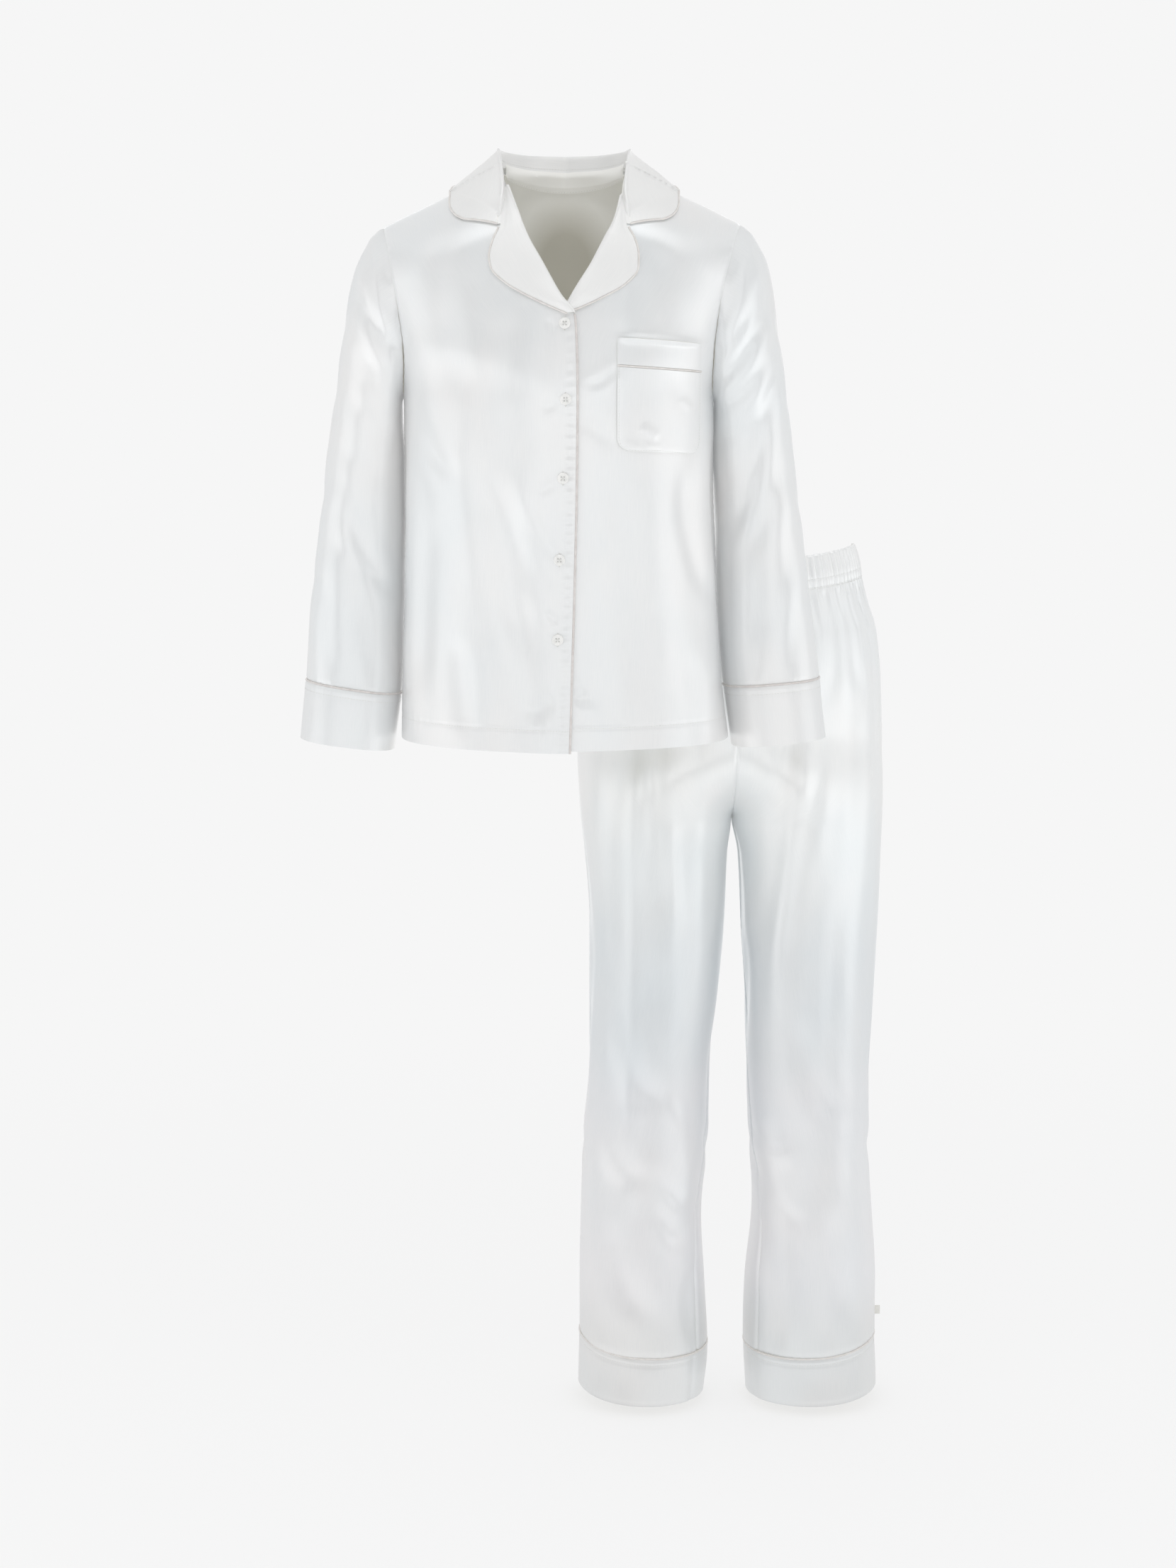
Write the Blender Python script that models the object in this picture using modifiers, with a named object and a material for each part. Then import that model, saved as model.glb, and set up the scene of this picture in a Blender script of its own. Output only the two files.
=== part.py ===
"""A pyjama set: a notch-collar top with long cuffed sleeves, and trousers with a gathered waist.

The two garments stand filled out, the trousers behind the top and to its left as the wearer has it.
Tables are in millimetres and meshes in metres. +X is the wearer's left, +Y the wearer's back, +Z up.
The origin lies level with the neck points, midway between the shoulders, over the side seams.
A piece is one sheet with its skin outwards, given its wall by a Solidify modifier.
"""
import math
from types import SimpleNamespace

import bmesh
import bpy
from mathutils import Matrix, Vector

MM = 0.001
WALL = 1.5  # cloth wall
SEAM = 0.3  # gap between two pieces that are sewn together
PART = 0.5  # gap between two skins at a curved seam, which leaves SEAM between their walls
PIPING_RADIUS = 1.3
FRONT, BACK = -1, 1  # the faces of the torso, by the sign of y
RIGHT, LEFT = -1, 1  # the wearer's sides, by the sign of x


class Sections:
    """A short table of named columns, read smoothly at any value of its first column."""

    def __init__(self, columns, *rows):
        self.names = columns.split()
        self.rows = sorted(rows)

    def run(self, index, column):
        """Slope of a column between a row and the next."""
        low, high = self.rows[index], self.rows[index + 1]
        return (high[column] - low[column]) / (high[0] - low[0])

    def slope(self, index, column):
        """Slope of a column at a row: level at a turn, so that no curve overshoots its rows."""
        last = len(self.rows) - 1
        before = self.run(max(index - 1, 0), column)
        after = self.run(min(index, last - 1), column)
        if before * after <= 0:
            return 0.0
        return 2 * before * after / (before + after)

    def at(self, key):
        """All columns at a key, by name."""
        rows = self.rows
        key = min(max(key, rows[0][0]), rows[-1][0])
        index = 0
        while index < len(rows) - 2 and key > rows[index + 1][0]:
            index += 1
        low, high = rows[index], rows[index + 1]
        span = high[0] - low[0]
        t = (key - low[0]) / span
        values = [key]
        for column in range(1, len(low)):
            bend = (self.slope(index, column) * (t - 2 * t**2 + t**3)
                    + self.slope(index + 1, column) * (t**3 - t**2)) * span
            ease = 3 * t**2 - 2 * t**3
            values.append(low[column] + (high[column] - low[column]) * ease + bend)
        return SimpleNamespace(**dict(zip(self.names, values)))


def mix(a, b, t):
    """The value a share t of the way from a to b."""
    return a + (b - a) * t


def ease(t):
    """A smooth step from 0 to 1."""
    t = min(max(t, 0.0), 1.0)
    return t * t * (3 - 2 * t)


# ---------------------------------------------------------------- folds

FOLD_OVERRUN = 0.2  # share of its length over which a crease fades out past each end


def folds(*rows):
    """Creases in the front view: x and z of both ends, half width, and depth (under 0 is a ridge)."""
    names = ("x0", "z0", "x1", "z1", "width", "depth")
    return [SimpleNamespace(**dict(zip(names, row))) for row in rows]


def fold_depth(table, x, z):
    """How far the creases of a table sink the cloth at a place of the front view."""
    total = 0.0
    for fold in table:
        run_x, run_z = fold.x1 - fold.x0, fold.z1 - fold.z0
        length = math.hypot(run_x, run_z)
        along = ((x - fold.x0) * run_x + (z - fold.z0) * run_z) / length**2
        across = ((x - fold.x0) * run_z - (z - fold.z0) * run_x) / length
        before, after = along + FOLD_OVERRUN, 1 + FOLD_OVERRUN - along
        if before > 0 and after > 0:
            taper = ease(before / (2 * FOLD_OVERRUN)) * ease(after / (2 * FOLD_OVERRUN))
            total += fold.depth * taper * math.exp(-((across / fold.width) ** 2))
    return total


# ---------------------------------------------------------------- the torso's form

SHOULDER_FALL = 0.49  # how far the shoulder seam drops for each millimetre outwards
NECK_ROUND = 30.0
NECK_REACH = 76.0
NECK_POINT = 72.0  # x of the shoulder seam's neck end
SHOULDER_ROLL = {FRONT: 75.0, BACK: 50.0}  # drop over which each face turns from the seam
SQUARENESS = 2.4  # power of the torso's rounded section
BACK_NECK_DROP = 11.0

TORSO = Sections(
    "z left right front back",
    (20, 268, 260, 66, 74),
    (-20, 262, 254, 75, 80),
    (-61, 250, 242, 88, 88),
    (-90, 230, 219, 97, 95),
    (-113, 220, 208, 103, 99),
    (-142, 208, 195, 110, 102),
    (-174, 196, 182, 116, 104),
    (-205, 187, 174, 120, 105),
    (-246, 179, 164, 122, 105),
    (-330, 179, 166, 119, 103),
    (-440, 180, 170, 114, 102),
    (-560, 183, 177, 112, 103),
    (-640, 185, 186, 113, 104),
)

ARMHOLE_BASE = -246.0
ARMHOLE = {
    RIGHT: Sections("z x", (-62, 200), (-90, 193), (-113, 189), (-142, 184), (-174, 179),
                    (-205, 176), (-235, 178), (-246, 179)),
    LEFT: Sections("z x", (-61, 194), (-72, 189), (-97, 182), (-134, 173), (-171, 167),
                   (-203, 164), (-235, 163.5), (-246, 164)),
}
SHOULDER_TIP = {RIGHT: 200.0, LEFT: 194.0}  # x where the shoulder seam ends at the armhole

SIDE_ROWS = 7  # rows of the panels from hem to underarm
ARM_ROWS = 9  # rows from underarm to shoulder tip
TOP_ROWS = SIDE_ROWS + ARM_ROWS
PANEL_COLUMNS = 12
SHOULDER_PART = 1.7
SIDE_HEM = -628.0
BACK_HEM = -633.0

ROLL_ROW = 10  # the row at which the roll line starts
FRONT_CORD_END = 0.88  # share of its last stretch at which the front's cord ends, under the roll
# Front edge from hem (row 0) to neck point.
FRONT_EDGE = {
    RIGHT: Sections("row x z", (0, 5, -636), (2, 8, -530), (4, 11, -425), (6, 13, -320),
                    (8, 13.5, -245), (9, 13, -205), (10, 11, -165), (11, -5, -141),
                    (12, -23, -109), (13, -40, -79), (14, -52, -48), (15, -62, -22), (16, -72, -0.98)),
    LEFT: Sections("row x z", (0, -26, -634), (2, -23, -530), (4, -20, -425), (6, -18, -320),
                   (8, -17, -245), (9, -15, -205), (10, -2, -166), (11, 13, -137),
                   (12, 32, -106), (13, 45, -81), (14, 56, -58), (15, 64, -28), (16, 72, -0.98)),
}
LAP = SimpleNamespace(lift=3.0, start_x=-62.0, start_z=-120.0, fade=40.0)  # right front over left
SHOULDER_BEND = 0.62  # share of the panels' height above which their rows follow the shoulder

TOP_FOLDS = folds((-86, -330, -34, -520, 20, 5), (-120, -250, -96, -470, 20, -3),
                  (-150, -400, -160, -560, 16, 4), (126, -330, 164, -520, 20, 7),
                  (60, -360, 74, -560, 24, 3))
BACK_FOLDS = folds((-60, -250, -82, -520, 24, 4), (70, -230, 96, -500, 24, 5))


def ridge(x):
    """Height of the shoulder line over x."""
    return -SHOULDER_FALL * (math.hypot(x, NECK_ROUND) - NECK_REACH)


def half_width(x, z):
    """The torso's half width on the side of x."""
    row = TORSO.at(z)
    return row.right if x > 0 else row.left


def torso_angle(x, z):
    """The turn about the torso, from its middle line, that gives x at height z."""
    share = min(abs(x) / half_width(x, z), 1.0)
    return math.copysign(math.asin(share ** (SQUARENESS / 2)), x)


def torso_at(angle, z, face):
    """The torso's skin at a turn from the middle line and a height."""
    power = 2 / SQUARENESS
    row = TORSO.at(z)
    wide = row.right if angle > 0 else row.left
    x = math.copysign(wide * abs(math.sin(angle)) ** power, angle)
    deep = row.front if face == FRONT else row.back
    below = min(max((ridge(x) - z) / SHOULDER_ROLL[face], 0.0), 1.0)
    y = face * deep * max(math.cos(angle), 0.0) ** power * math.sqrt(1 - (1 - below) ** 2)
    return Vector((x, y, z))


def torso_normal(angle, z, face):
    """The outward direction of the torso's skin."""
    turn = 0.02
    inner = math.copysign(min(abs(angle), math.pi / 2 - turn), angle)
    around = torso_at(inner + turn, z, face) - torso_at(inner - turn, z, face)
    upward = torso_at(inner, z + 1, face) - torso_at(inner, z - 1, face)
    normal = around.cross(upward).normalized()
    middle = torso_at(angle, z, face)
    return normal if normal.dot(Vector((middle.x, middle.y, 10))) > 0 else -normal


def on_torso(x, z, face, lift=0.0):
    """The point over x and z on a face of the torso, lifted off it."""
    angle = torso_angle(x, z)
    return torso_at(angle, z, face) + torso_normal(angle, z, face) * lift


def lap_lift(x, z, side):
    """How far the right front is raised where it closes over the left one."""
    if side == LEFT:
        return 0.0
    return LAP.lift * ease((x - LAP.start_x) / LAP.fade) * ease((LAP.start_z - z) / LAP.fade)


def armhole_height(turn, side):
    """Height of the armhole seam, by the turn from shoulder tip (0) to underarm (pi)."""
    return mix(ARMHOLE_BASE, ridge(SHOULDER_TIP[side]), (1 + math.cos(turn)) / 2)


def side_point(row, side):
    """x and z of a panel's outer edge: the side seam, then the armhole."""
    if row <= SIDE_ROWS:
        z = mix(SIDE_HEM, ARMHOLE_BASE, row / SIDE_ROWS)
        return side * half_width(side, z), z
    z = armhole_height(math.pi * (1 - (row - SIDE_ROWS) / ARM_ROWS), side)
    return side * ARMHOLE[side].at(z).x, z


def torso_row(start, end, shares, top_line, row):
    """Angles and heights of one panel row, from its inner point to its outer one."""
    (x0, z0), (x1, z1) = start, end
    first, last = torso_angle(x0, z0), torso_angle(x1, z1)
    follow = ease((row / TOP_ROWS - SHOULDER_BEND) / (1 - SHOULDER_BEND))
    places = []
    for share in shares:
        angle = mix(first, last, share)
        level = z = mix(z0, z1, share)
        drop = mix(top_line(x0) - z0, top_line(x1) - z1, share)
        for _ in range(5):
            z = mix(level, top_line(torso_at(angle, z, FRONT).x) - drop, follow)
        places.append((angle, z))
    return places


def panel_gap(row):
    """Gap between front and back along a row: wider at the shoulder, where the walls lean in."""
    return SHOULDER_PART if row == TOP_ROWS else PART


def front_sheet(side):
    """Skin of one front, from its front edge to the side seam and armhole."""
    sheet = []
    shares = [column / PANEL_COLUMNS for column in range(PANEL_COLUMNS + 1)]
    for row in range(TOP_ROWS + 1):
        edge = FRONT_EDGE[side].at(row)
        line = []
        for angle, z in torso_row((edge.x, edge.z), side_point(row, side), shares, ridge, row):
            point = torso_at(angle, z, FRONT)
            lift = lap_lift(point.x, z, side) - fold_depth(TOP_FOLDS, point.x, z)
            point += torso_normal(angle, z, FRONT) * lift
            line.append(point + Vector((0, -panel_gap(row) / 2, 0)))
        sheet.append(line)
    return sheet


def back_top_line(x):
    """The back's upper edge: the neckline, then the shoulder seam."""
    if abs(x) >= NECK_POINT:
        return ridge(x)
    return mix(-BACK_NECK_DROP, ridge(NECK_POINT), (abs(x) / NECK_POINT) ** 2)


def back_half(side):
    """Skin of half the back, from the middle line outwards."""
    neck_columns, shoulder_columns = 4, 6
    columns = neck_columns + shoulder_columns
    tip_x, tip_z = side_point(TOP_ROWS, side)
    seam = [side * NECK_POINT * k / neck_columns for k in range(neck_columns)]
    seam += [mix(side * NECK_POINT, tip_x, k / shoulder_columns) for k in range(shoulder_columns + 1)]
    tip = torso_angle(tip_x, tip_z)
    top_shares = [torso_angle(x, back_top_line(x)) / tip for x in seam]
    sheet = []
    for row in range(TOP_ROWS + 1):
        rise = row / TOP_ROWS
        middle_z = mix(BACK_HEM, -BACK_NECK_DROP, rise)
        shares = [mix(k / columns, top_shares[k], ease(rise)) for k in range(columns + 1)]
        line = []
        places = torso_row((0.0, middle_z), side_point(row, side), shares, back_top_line, row)
        for angle, z in places:
            point = torso_at(angle, z, BACK)
            sink = fold_depth(BACK_FOLDS, point.x, z)
            point -= torso_normal(angle, z, BACK) * sink
            line.append(point + Vector((0, panel_gap(row) / 2, 0)))
        sheet.append(line)
    return sheet


def back_sheet():
    """Skin of the back, from the right side seam to the left one."""
    right, left = back_half(RIGHT), back_half(LEFT)
    return [list(reversed(a)) + b[1:] for a, b in zip(right, left)]


# ---------------------------------------------------------------- sleeves and cuffs

SLEEVE_STATIONS = 12
SLEEVE_START = 5.0  # length over which the sleeve leaves the armhole in line with the shoulder
SLEEVE_LEVEL = (-0.2, 0.7)  # heights on the armhole, from -1 to 1, between which that line takes over
SLEEVE_SQUARENESS = 2.2

# From the cap (0) to the cuff seam (1): outer and inner edge, their y, half the depth, and how far
# the inner edge is tucked behind the body.
SLEEVE = {
    RIGHT: Sections(
        "t outer_x outer_z inner_x inner_z outer_y inner_y depth tuck",
        (0.00, -216, -77, -182, -257, 2, 2, 66, 0),
        (0.08, -232, -108, -182, -272, 3, 6, 67, 3),
        (0.17, -243, -156, -181, -292, 4, 10, 64, 8),
        (0.28, -252, -217, -180, -320, 5, 15, 60, 13),
        (0.42, -263, -290, -179.5, -362, 5, 20, 57, 14),
        (0.60, -274, -375, -180, -422, 5, 22, 55, 13),
        (0.80, -286, -468, -182, -500, 4, 20, 54, 12),
        (1.00, -293, -563, -186, -580, 2, 14, 52, 8),
    ),
    LEFT: Sections(
        "t outer_x outer_z inner_x inner_z outer_y inner_y depth tuck",
        (0.00, 210, -74, 167, -257, 2, 2, 66, 0),
        (0.08, 225, -102, 167, -270, 3, 6, 67, 3),
        (0.17, 235, -155, 166.5, -288, 4, 10, 64, 8),
        (0.28, 245, -220, 166.5, -314, 5, 15, 60, 13),
        (0.42, 255, -300, 168, -356, 5, 22, 57, 13),
        (0.60, 267, -395, 170.5, -418, 5, 24, 55, 12),
        (0.80, 279, -490, 174, -498, 4, 22, 54, 11),
        (1.00, 288, -561, 180, -571, 2, 16, 52, 8),
    ),
}
CUFF_HEM = {
    RIGHT: SimpleNamespace(outer_x=-300, outer_z=-630, inner_x=-195, inner_z=-644,
                           outer_y=0, inner_y=10, depth=54, tuck=3),
    LEFT: SimpleNamespace(outer_x=296, outer_z=-629, inner_x=190, inner_z=-640,
                          outer_y=0, inner_y=12, depth=54, tuck=4),
}
TUCK_POWER = 8  # how close to the inner edge a sleeve bends back behind the body
SLEEVE_BACK_SHARE = 0.6  # depth of the creases behind beside those in front
SLEEVE_BACK_DROP = 25.0
SLEEVE_FOLDS = {
    RIGHT: folds((-240, -130, -186, -205, 13, 8), (-232, -205, -192, -262, 12, 6),
                 (-232, -375, -200, -470, 14, 5), (-206, -90, -214, -170, 14, 4)),
    LEFT: folds((232, -135, 180, -225, 13, 9), (238, -180, 196, -300, 13, -4),
                (212, -270, 186, -400, 13, 9), (236, -240, 204, -420, 14, 4)),
}


def armhole_ring(side):
    """The armhole seam from the shoulder tip down the front and up the back, and the panels' run.

    Returns the ring's points, a seam's gap off the panels, and the way each panel goes on there.
    """
    front, back = front_sheet(side), back_half(side)
    ring, ways = [], []
    for k in range(2 * ARM_ROWS):
        panel, row = (front, TOP_ROWS - k) if k <= ARM_ROWS else (back, TOP_ROWS - 2 * ARM_ROWS + k)
        edge, inner = panel[row][-1], panel[row][-2]
        ring.append(edge + Vector((side * PART, 0, 0)))
        ways.append((edge - inner).normalized())
    ring[0].y = ring[ARM_ROWS].y = 0.0
    return ring, ways


def sleeve_ring(section, side, crease=True):
    """One ring of a sleeve or cuff, in the same order as the armhole's."""
    outer = Vector((section.outer_x, section.outer_y, section.outer_z))
    inner = Vector((section.inner_x, section.inner_y, section.inner_z))
    middle, reach = (outer + inner) / 2, (outer - inner) / 2
    power = 2 / SLEEVE_SQUARENESS
    ring = []
    for k in range(2 * ARM_ROWS):
        turn = math.pi * k / ARM_ROWS
        across = math.copysign(abs(math.cos(turn)) ** power, math.cos(turn))
        deep = math.copysign(abs(math.sin(turn)) ** power, math.sin(turn))
        tucked = section.tuck * ((1 - across) / 2) ** TUCK_POWER
        point = middle + reach * across + Vector((0, tucked - section.depth * deep, 0))
        if crease and deep > 0:
            point.y += fold_depth(SLEEVE_FOLDS[side], point.x, point.z) * deep
        elif crease:
            low = point.z - SLEEVE_BACK_DROP
            depth = SLEEVE_BACK_SHARE * fold_depth(SLEEVE_FOLDS[side], point.x, low)
            point.y += depth * deep
        ring.append(point)
    return ring


def sleeve_sheet(side):
    """Skin of a sleeve, as rings from the armhole to the cuff seam."""
    start, ways = armhole_ring(side)
    stations = [SLEEVE[side].at(k / (SLEEVE_STATIONS - 1)) for k in range(SLEEVE_STATIONS)]
    rings = [sleeve_ring(section, side) for section in stations]
    second = []
    for k, point in enumerate(start):
        onward = (rings[0][k] - point).normalized()
        start_level, end_level = SLEEVE_LEVEL
        height = math.cos(math.pi * k / ARM_ROWS)
        level = ease((height - start_level) / (end_level - start_level))
        way = onward.lerp(ways[k], level).normalized()
        second.append(point + way * SLEEVE_START)
    return [start, second] + rings


def between(first, second, share):
    """The section a share of the way from one to another."""
    names = vars(first)
    return SimpleNamespace(**{n: mix(getattr(first, n), getattr(second, n), share)
                              for n in names if hasattr(second, n)})


def cuff_gap(side):
    """Share of the cuff's length that its seam gap and piping take."""
    seam, hem = SLEEVE[side].at(1.0), CUFF_HEM[side]
    return (PIPING_RADIUS + SEAM) / abs(hem.outer_z - seam.outer_z)


def cuff_sheet(side):
    """Skin of a cuff, as rings from under its piping to the hem."""
    seam, hem = SLEEVE[side].at(1.0), CUFF_HEM[side]
    shares = (2 * cuff_gap(side), 0.5, 1.0)
    return [sleeve_ring(between(seam, hem, share), side, crease=False) for share in shares]


def cuff_piping(side):
    """The ring that a cuff's piping follows."""
    seam, hem = SLEEVE[side].at(1.0), CUFF_HEM[side]
    return sleeve_ring(between(seam, hem, cuff_gap(side)), side, crease=False)


# ---------------------------------------------------------------- collar, lapels, facing

CLEAR = WALL + 0.9  # distance of a turned-back skin from the cloth it lies on

# Half the collar, from the notch (0) to the middle of the back (1): its seam, fold and outer edge.
COLLAR = Sections(
    "q seam_x seam_y seam_z fold_x fold_y fold_z edge_x edge_y edge_z",
    (0.00, 67, -85, -66, 72, -86, -66, 109, -70, -63),
    (0.10, 66, -83, -60, 70, -86, -57, 118, -63, -58),
    (0.22, 64.5, -79, -50, 68, -84, -42, 125, -50, -46),
    (0.35, 63, -70, -37, 66, -77, -24, 127, -33, -32),
    (0.50, 64.5, -56, -22, 68, -58, -1, 127, -12, -22),
    (0.62, 69, -34, -7, 72, -30, 17, 122, 8, -17),
    (0.72, 72, -3, 0, 74, 4, 24, 114, 38, -22),
    (0.82, 62, 37, -3, 67, 42, 25, 94, 70, -30),
    (0.91, 35, 60, -8, 39, 68, 24, 52, 90, -35),
    (1.00, 0, 70, -10, 0, 78, 22, 0, 94, -37),
)
COLLAR_STATIONS = 15  # on each half
STAND_STEPS = 2
LEAF_STEPS = 4
LEAF_CROWN = 3.5  # how far the leaf's middle stands proud
FULL_STAND = 20.0  # height of stand from which the leaf has all of its crown
FOLD_RADIUS = 3.2
FACING_HEIGHT = 13.0
FACING_COLUMNS = 3  # on each side of the middle
FACING_DEPTH = 2 * WALL + PART  # of its skin, under the back's

# The lapels' outer edges, by the front's rows.
LAPEL_EDGE = {
    RIGHT: Sections("row x z", (10.15, 4, -163), (10.5, -16, -155), (11, -42, -142),
                    (11.5, -64, -128), (12, -77, -114), (12.5, -79, -101), (13, -74, -85),
                    (13.5, -65, -68), (14, -62, -54), (14.5, -61, -40), (14.9, -62, -28)),
    LEFT: Sections("row x z", (10.7, 20, -152), (11, 40, -143), (11.5, 66, -129),
                   (12, 80, -112), (12.5, 79, -97), (13, 74, -82), (13.5, 65, -68),
                   (14, 62, -56), (14.4, 61.5, -46)),
}
LAPEL_ROWS = 14
NOTCH_ROW = 13.3
LAPEL_STEPS = ((-2.4, 0.6), (-1.8, 3.4))  # the roll: distance past the front's edge, and lift
LAPEL_LIFTS = ((0.05, 5.0), (0.3, 5.4), (0.6, 4.4), (1.0, CLEAR))  # share across, and lift


def torso_clear(point, gap):
    """Moves a point outwards until it stands a gap off the torso's skin."""
    for _ in range(4):
        face = FRONT if point.y < 0 else BACK
        angle = torso_angle(point.x, point.z)
        skin = torso_at(angle, point.z, face)
        if ridge(point.x) <= point.z - 0.01:
            skin = Vector((point.x, 0, ridge(point.x)))
            normal = Vector((math.copysign(SHOULDER_FALL, point.x), 0, 1)).normalized()
        else:
            normal = torso_normal(angle, point.z, face)
        short = gap - (point - skin).dot(normal)
        if short <= 0.01:
            break
        point = point + normal * short
    return point


def collar_line(section, side):
    """Skin of the collar at one station, from seam up the stand and down the leaf."""
    def place(name):
        return Vector((side * getattr(section, name + "_x"), getattr(section, name + "_y"),
                       getattr(section, name + "_z")))
    seam, fold, edge = place("seam"), place("fold"), place("edge")
    stand = fold - seam
    radius = min(FOLD_RADIUS, 0.3 * stand.length)
    away = (edge - fold) - stand.normalized() * (edge - fold).dot(stand.normalized())
    away.normalize()
    rise = stand.normalized()
    line = [mix(seam, fold - rise * radius, k / STAND_STEPS) for k in range(STAND_STEPS + 1)]
    line.append(fold + away * radius * 0.8)
    start = fold + away * 2 * radius - rise * radius
    for k in range(1, LEAF_STEPS + 1):
        share = k / LEAF_STEPS
        crown = LEAF_CROWN * math.sin(math.pi * share) * min(stand.length / FULL_STAND, 1)
        line.append(mix(start, edge, share) + away * crown * 0.5 + Vector((0, 0, crown)))
    return [torso_clear(point, CLEAR + 0.2) for point in line]


def collar_sheet():
    """Skin of the whole collar, from the right notch round the neck to the left one."""
    shares = [k / (COLLAR_STATIONS - 1) for k in range(COLLAR_STATIONS)]
    right = [collar_line(COLLAR.at(q), RIGHT) for q in shares]
    left = [collar_line(COLLAR.at(q), LEFT) for q in shares]
    return right + list(reversed(left))[1:]


def lapel_sheet(side):
    """Skin of a lapel, turned back over its front at the roll line."""
    table = LAPEL_EDGE[side]
    first, last = table.rows[0][0], table.rows[-1][0]
    sheet = []
    for k in range(LAPEL_ROWS + 1):
        row = mix(first, last, k / LAPEL_ROWS)
        roll, edge = FRONT_EDGE[side].at(row), table.at(row)
        run = Vector((edge.x - roll.x, 0, edge.z - roll.z))
        way = run.normalized()
        narrow = min(run.length / 25, 1)
        places = [(way * distance, lift) for distance, lift in LAPEL_STEPS]
        places += [(run * share, mix(CLEAR + 0.6, lift, narrow)) for share, lift in LAPEL_LIFTS]
        line = []
        for offset, lift in places:
            x, z = roll.x + offset.x, roll.z + offset.z
            line.append(on_torso(x, z, FRONT, lift + lap_lift(x, z, side)))
        sheet.append(line)
    return sheet


def neck_facing_sheet():
    """Skin of the strip inside the back neck, laid under the back's own upper faces."""
    lower, upper = back_sheet()[-2:]
    middle = len(upper) // 2
    sheet = [[], []]
    for column in range(middle - FACING_COLUMNS, middle + FACING_COLUMNS + 1):
        down = (lower[column] - upper[column]).normalized()
        along = upper[column + 1] - upper[column - 1]
        inward = along.cross(down).normalized()
        top = upper[column] + inward * FACING_DEPTH
        for line, drop in zip(sheet, (0.0, FACING_HEIGHT)):
            line.append(top + down * drop)
    return sheet


# ---------------------------------------------------------------- pocket, buttons, piping

POCKET = SimpleNamespace(left=57.0, right=147.0, top=-187.0, tilt=-0.055, band=28.0,
                         depth=119.0, corner=13.0, lift=1.3)
BUTTON = SimpleNamespace(radius=6.3, thick=2.4, hole=0.8, pitch=1.5, lift=0.4)
BUTTON_PLACES = ((1, -172), (2, -252), (-1, -336), (-5, -424), (-7, -511))


def pocket_point(across, down):
    """A point of the pocket, by its share across and its distance below the mouth."""
    x = mix(POCKET.left, POCKET.right, across)
    z = POCKET.top - down + POCKET.tilt * (x - POCKET.left)
    sink = fold_depth(TOP_FOLDS, x, z)
    return on_torso(x, z, FRONT, POCKET.lift + WALL - sink)


def pocket_sheet(start, end, rows, columns):
    """Skin of a stretch of the pocket, with its two lower corners rounded off."""
    sheet = []
    wide = POCKET.right - POCKET.left
    for k in range(rows + 1):
        down = mix(start, end, k / rows)
        low = max(down - (POCKET.depth - POCKET.corner), 0.0)
        inset = (POCKET.corner - math.sqrt(max(POCKET.corner**2 - low**2, 0.0))) / wide
        sheet.append([pocket_point(mix(inset, 1 - inset, c / columns), down)
                      for c in range(columns + 1)])
    return sheet


CORD_REACH = PIPING_RADIUS + SEAM + 0.1  # from a sheet's edge to its cord's middle
CORD_SINK = 0.35  # of the cord's middle, under the sheet's skin
POCKET_CORD_SINK = WALL / 2 - 0.1


def beside(edge, inner):
    """A cord's path beside a sheet's edge, a little under its skin.

    edge holds the edge's points in order, and inner the neighbour of each one inside the sheet.
    """
    last = len(edge) - 1
    path = []
    for k, (point, neighbour) in enumerate(zip(edge, inner)):
        before = (point - edge[k - 1]) if k else (edge[1] - point)
        after = (edge[k + 1] - point) if k < last else before
        outward = point - neighbour
        sides = []
        for run in (before.normalized(), after.normalized()):
            sides.append((outward - run * outward.dot(run)).normalized())
        way = (sides[0] + sides[1]).normalized()
        face = FRONT if point.y < 0 else BACK
        normal = torso_normal(torso_angle(point.x, point.z), point.z, face)
        reach = CORD_REACH / max(way.dot(sides[0]), 0.5)
        path.append(point + way * reach - normal * CORD_SINK)
    return path


def collar_piping():
    """Path along the collar's leaf, from notch to notch."""
    sheet = collar_sheet()
    start = STAND_STEPS + 2
    edge = sheet[0][start:-1] + [line[-1] for line in sheet] + sheet[-1][start:-1][::-1]
    first, last = sheet[1], sheet[-2]
    middle = [line[-2] for line in sheet[1:-1]]
    inner = first[start:-1] + [first[-2]] + middle + [last[-2]] + last[start:-1][::-1]
    return beside(edge, inner)


def lapel_piping(side):
    """Path along a lapel's outer edge, up to its notch."""
    table = LAPEL_EDGE[side]
    first, last = table.rows[0][0], table.rows[-1][0]
    sheet = lapel_sheet(side)
    kept = [line for k, line in enumerate(sheet) if mix(first, last, k / LAPEL_ROWS) < NOTCH_ROW]
    return beside([line[-1] for line in kept], [line[-2] for line in kept])


def front_piping():
    """Path along the right front's edge, from the hem to just under the roll line."""
    sheet = front_sheet(RIGHT)[:ROLL_ROW + 1]
    path = beside([line[0] for line in sheet], [line[1] for line in sheet])
    path[-1] = mix(path[-2], path[-1], FRONT_CORD_END)
    return path


def pocket_piping():
    """Path along the lower edge of the pocket's band."""
    down = POCKET.band + PIPING_RADIUS + SEAM
    return [pocket_point(k / 8, down) + Vector((0, POCKET_CORD_SINK, 0)) for k in range(9)]


# ---------------------------------------------------------------- trousers

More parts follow.
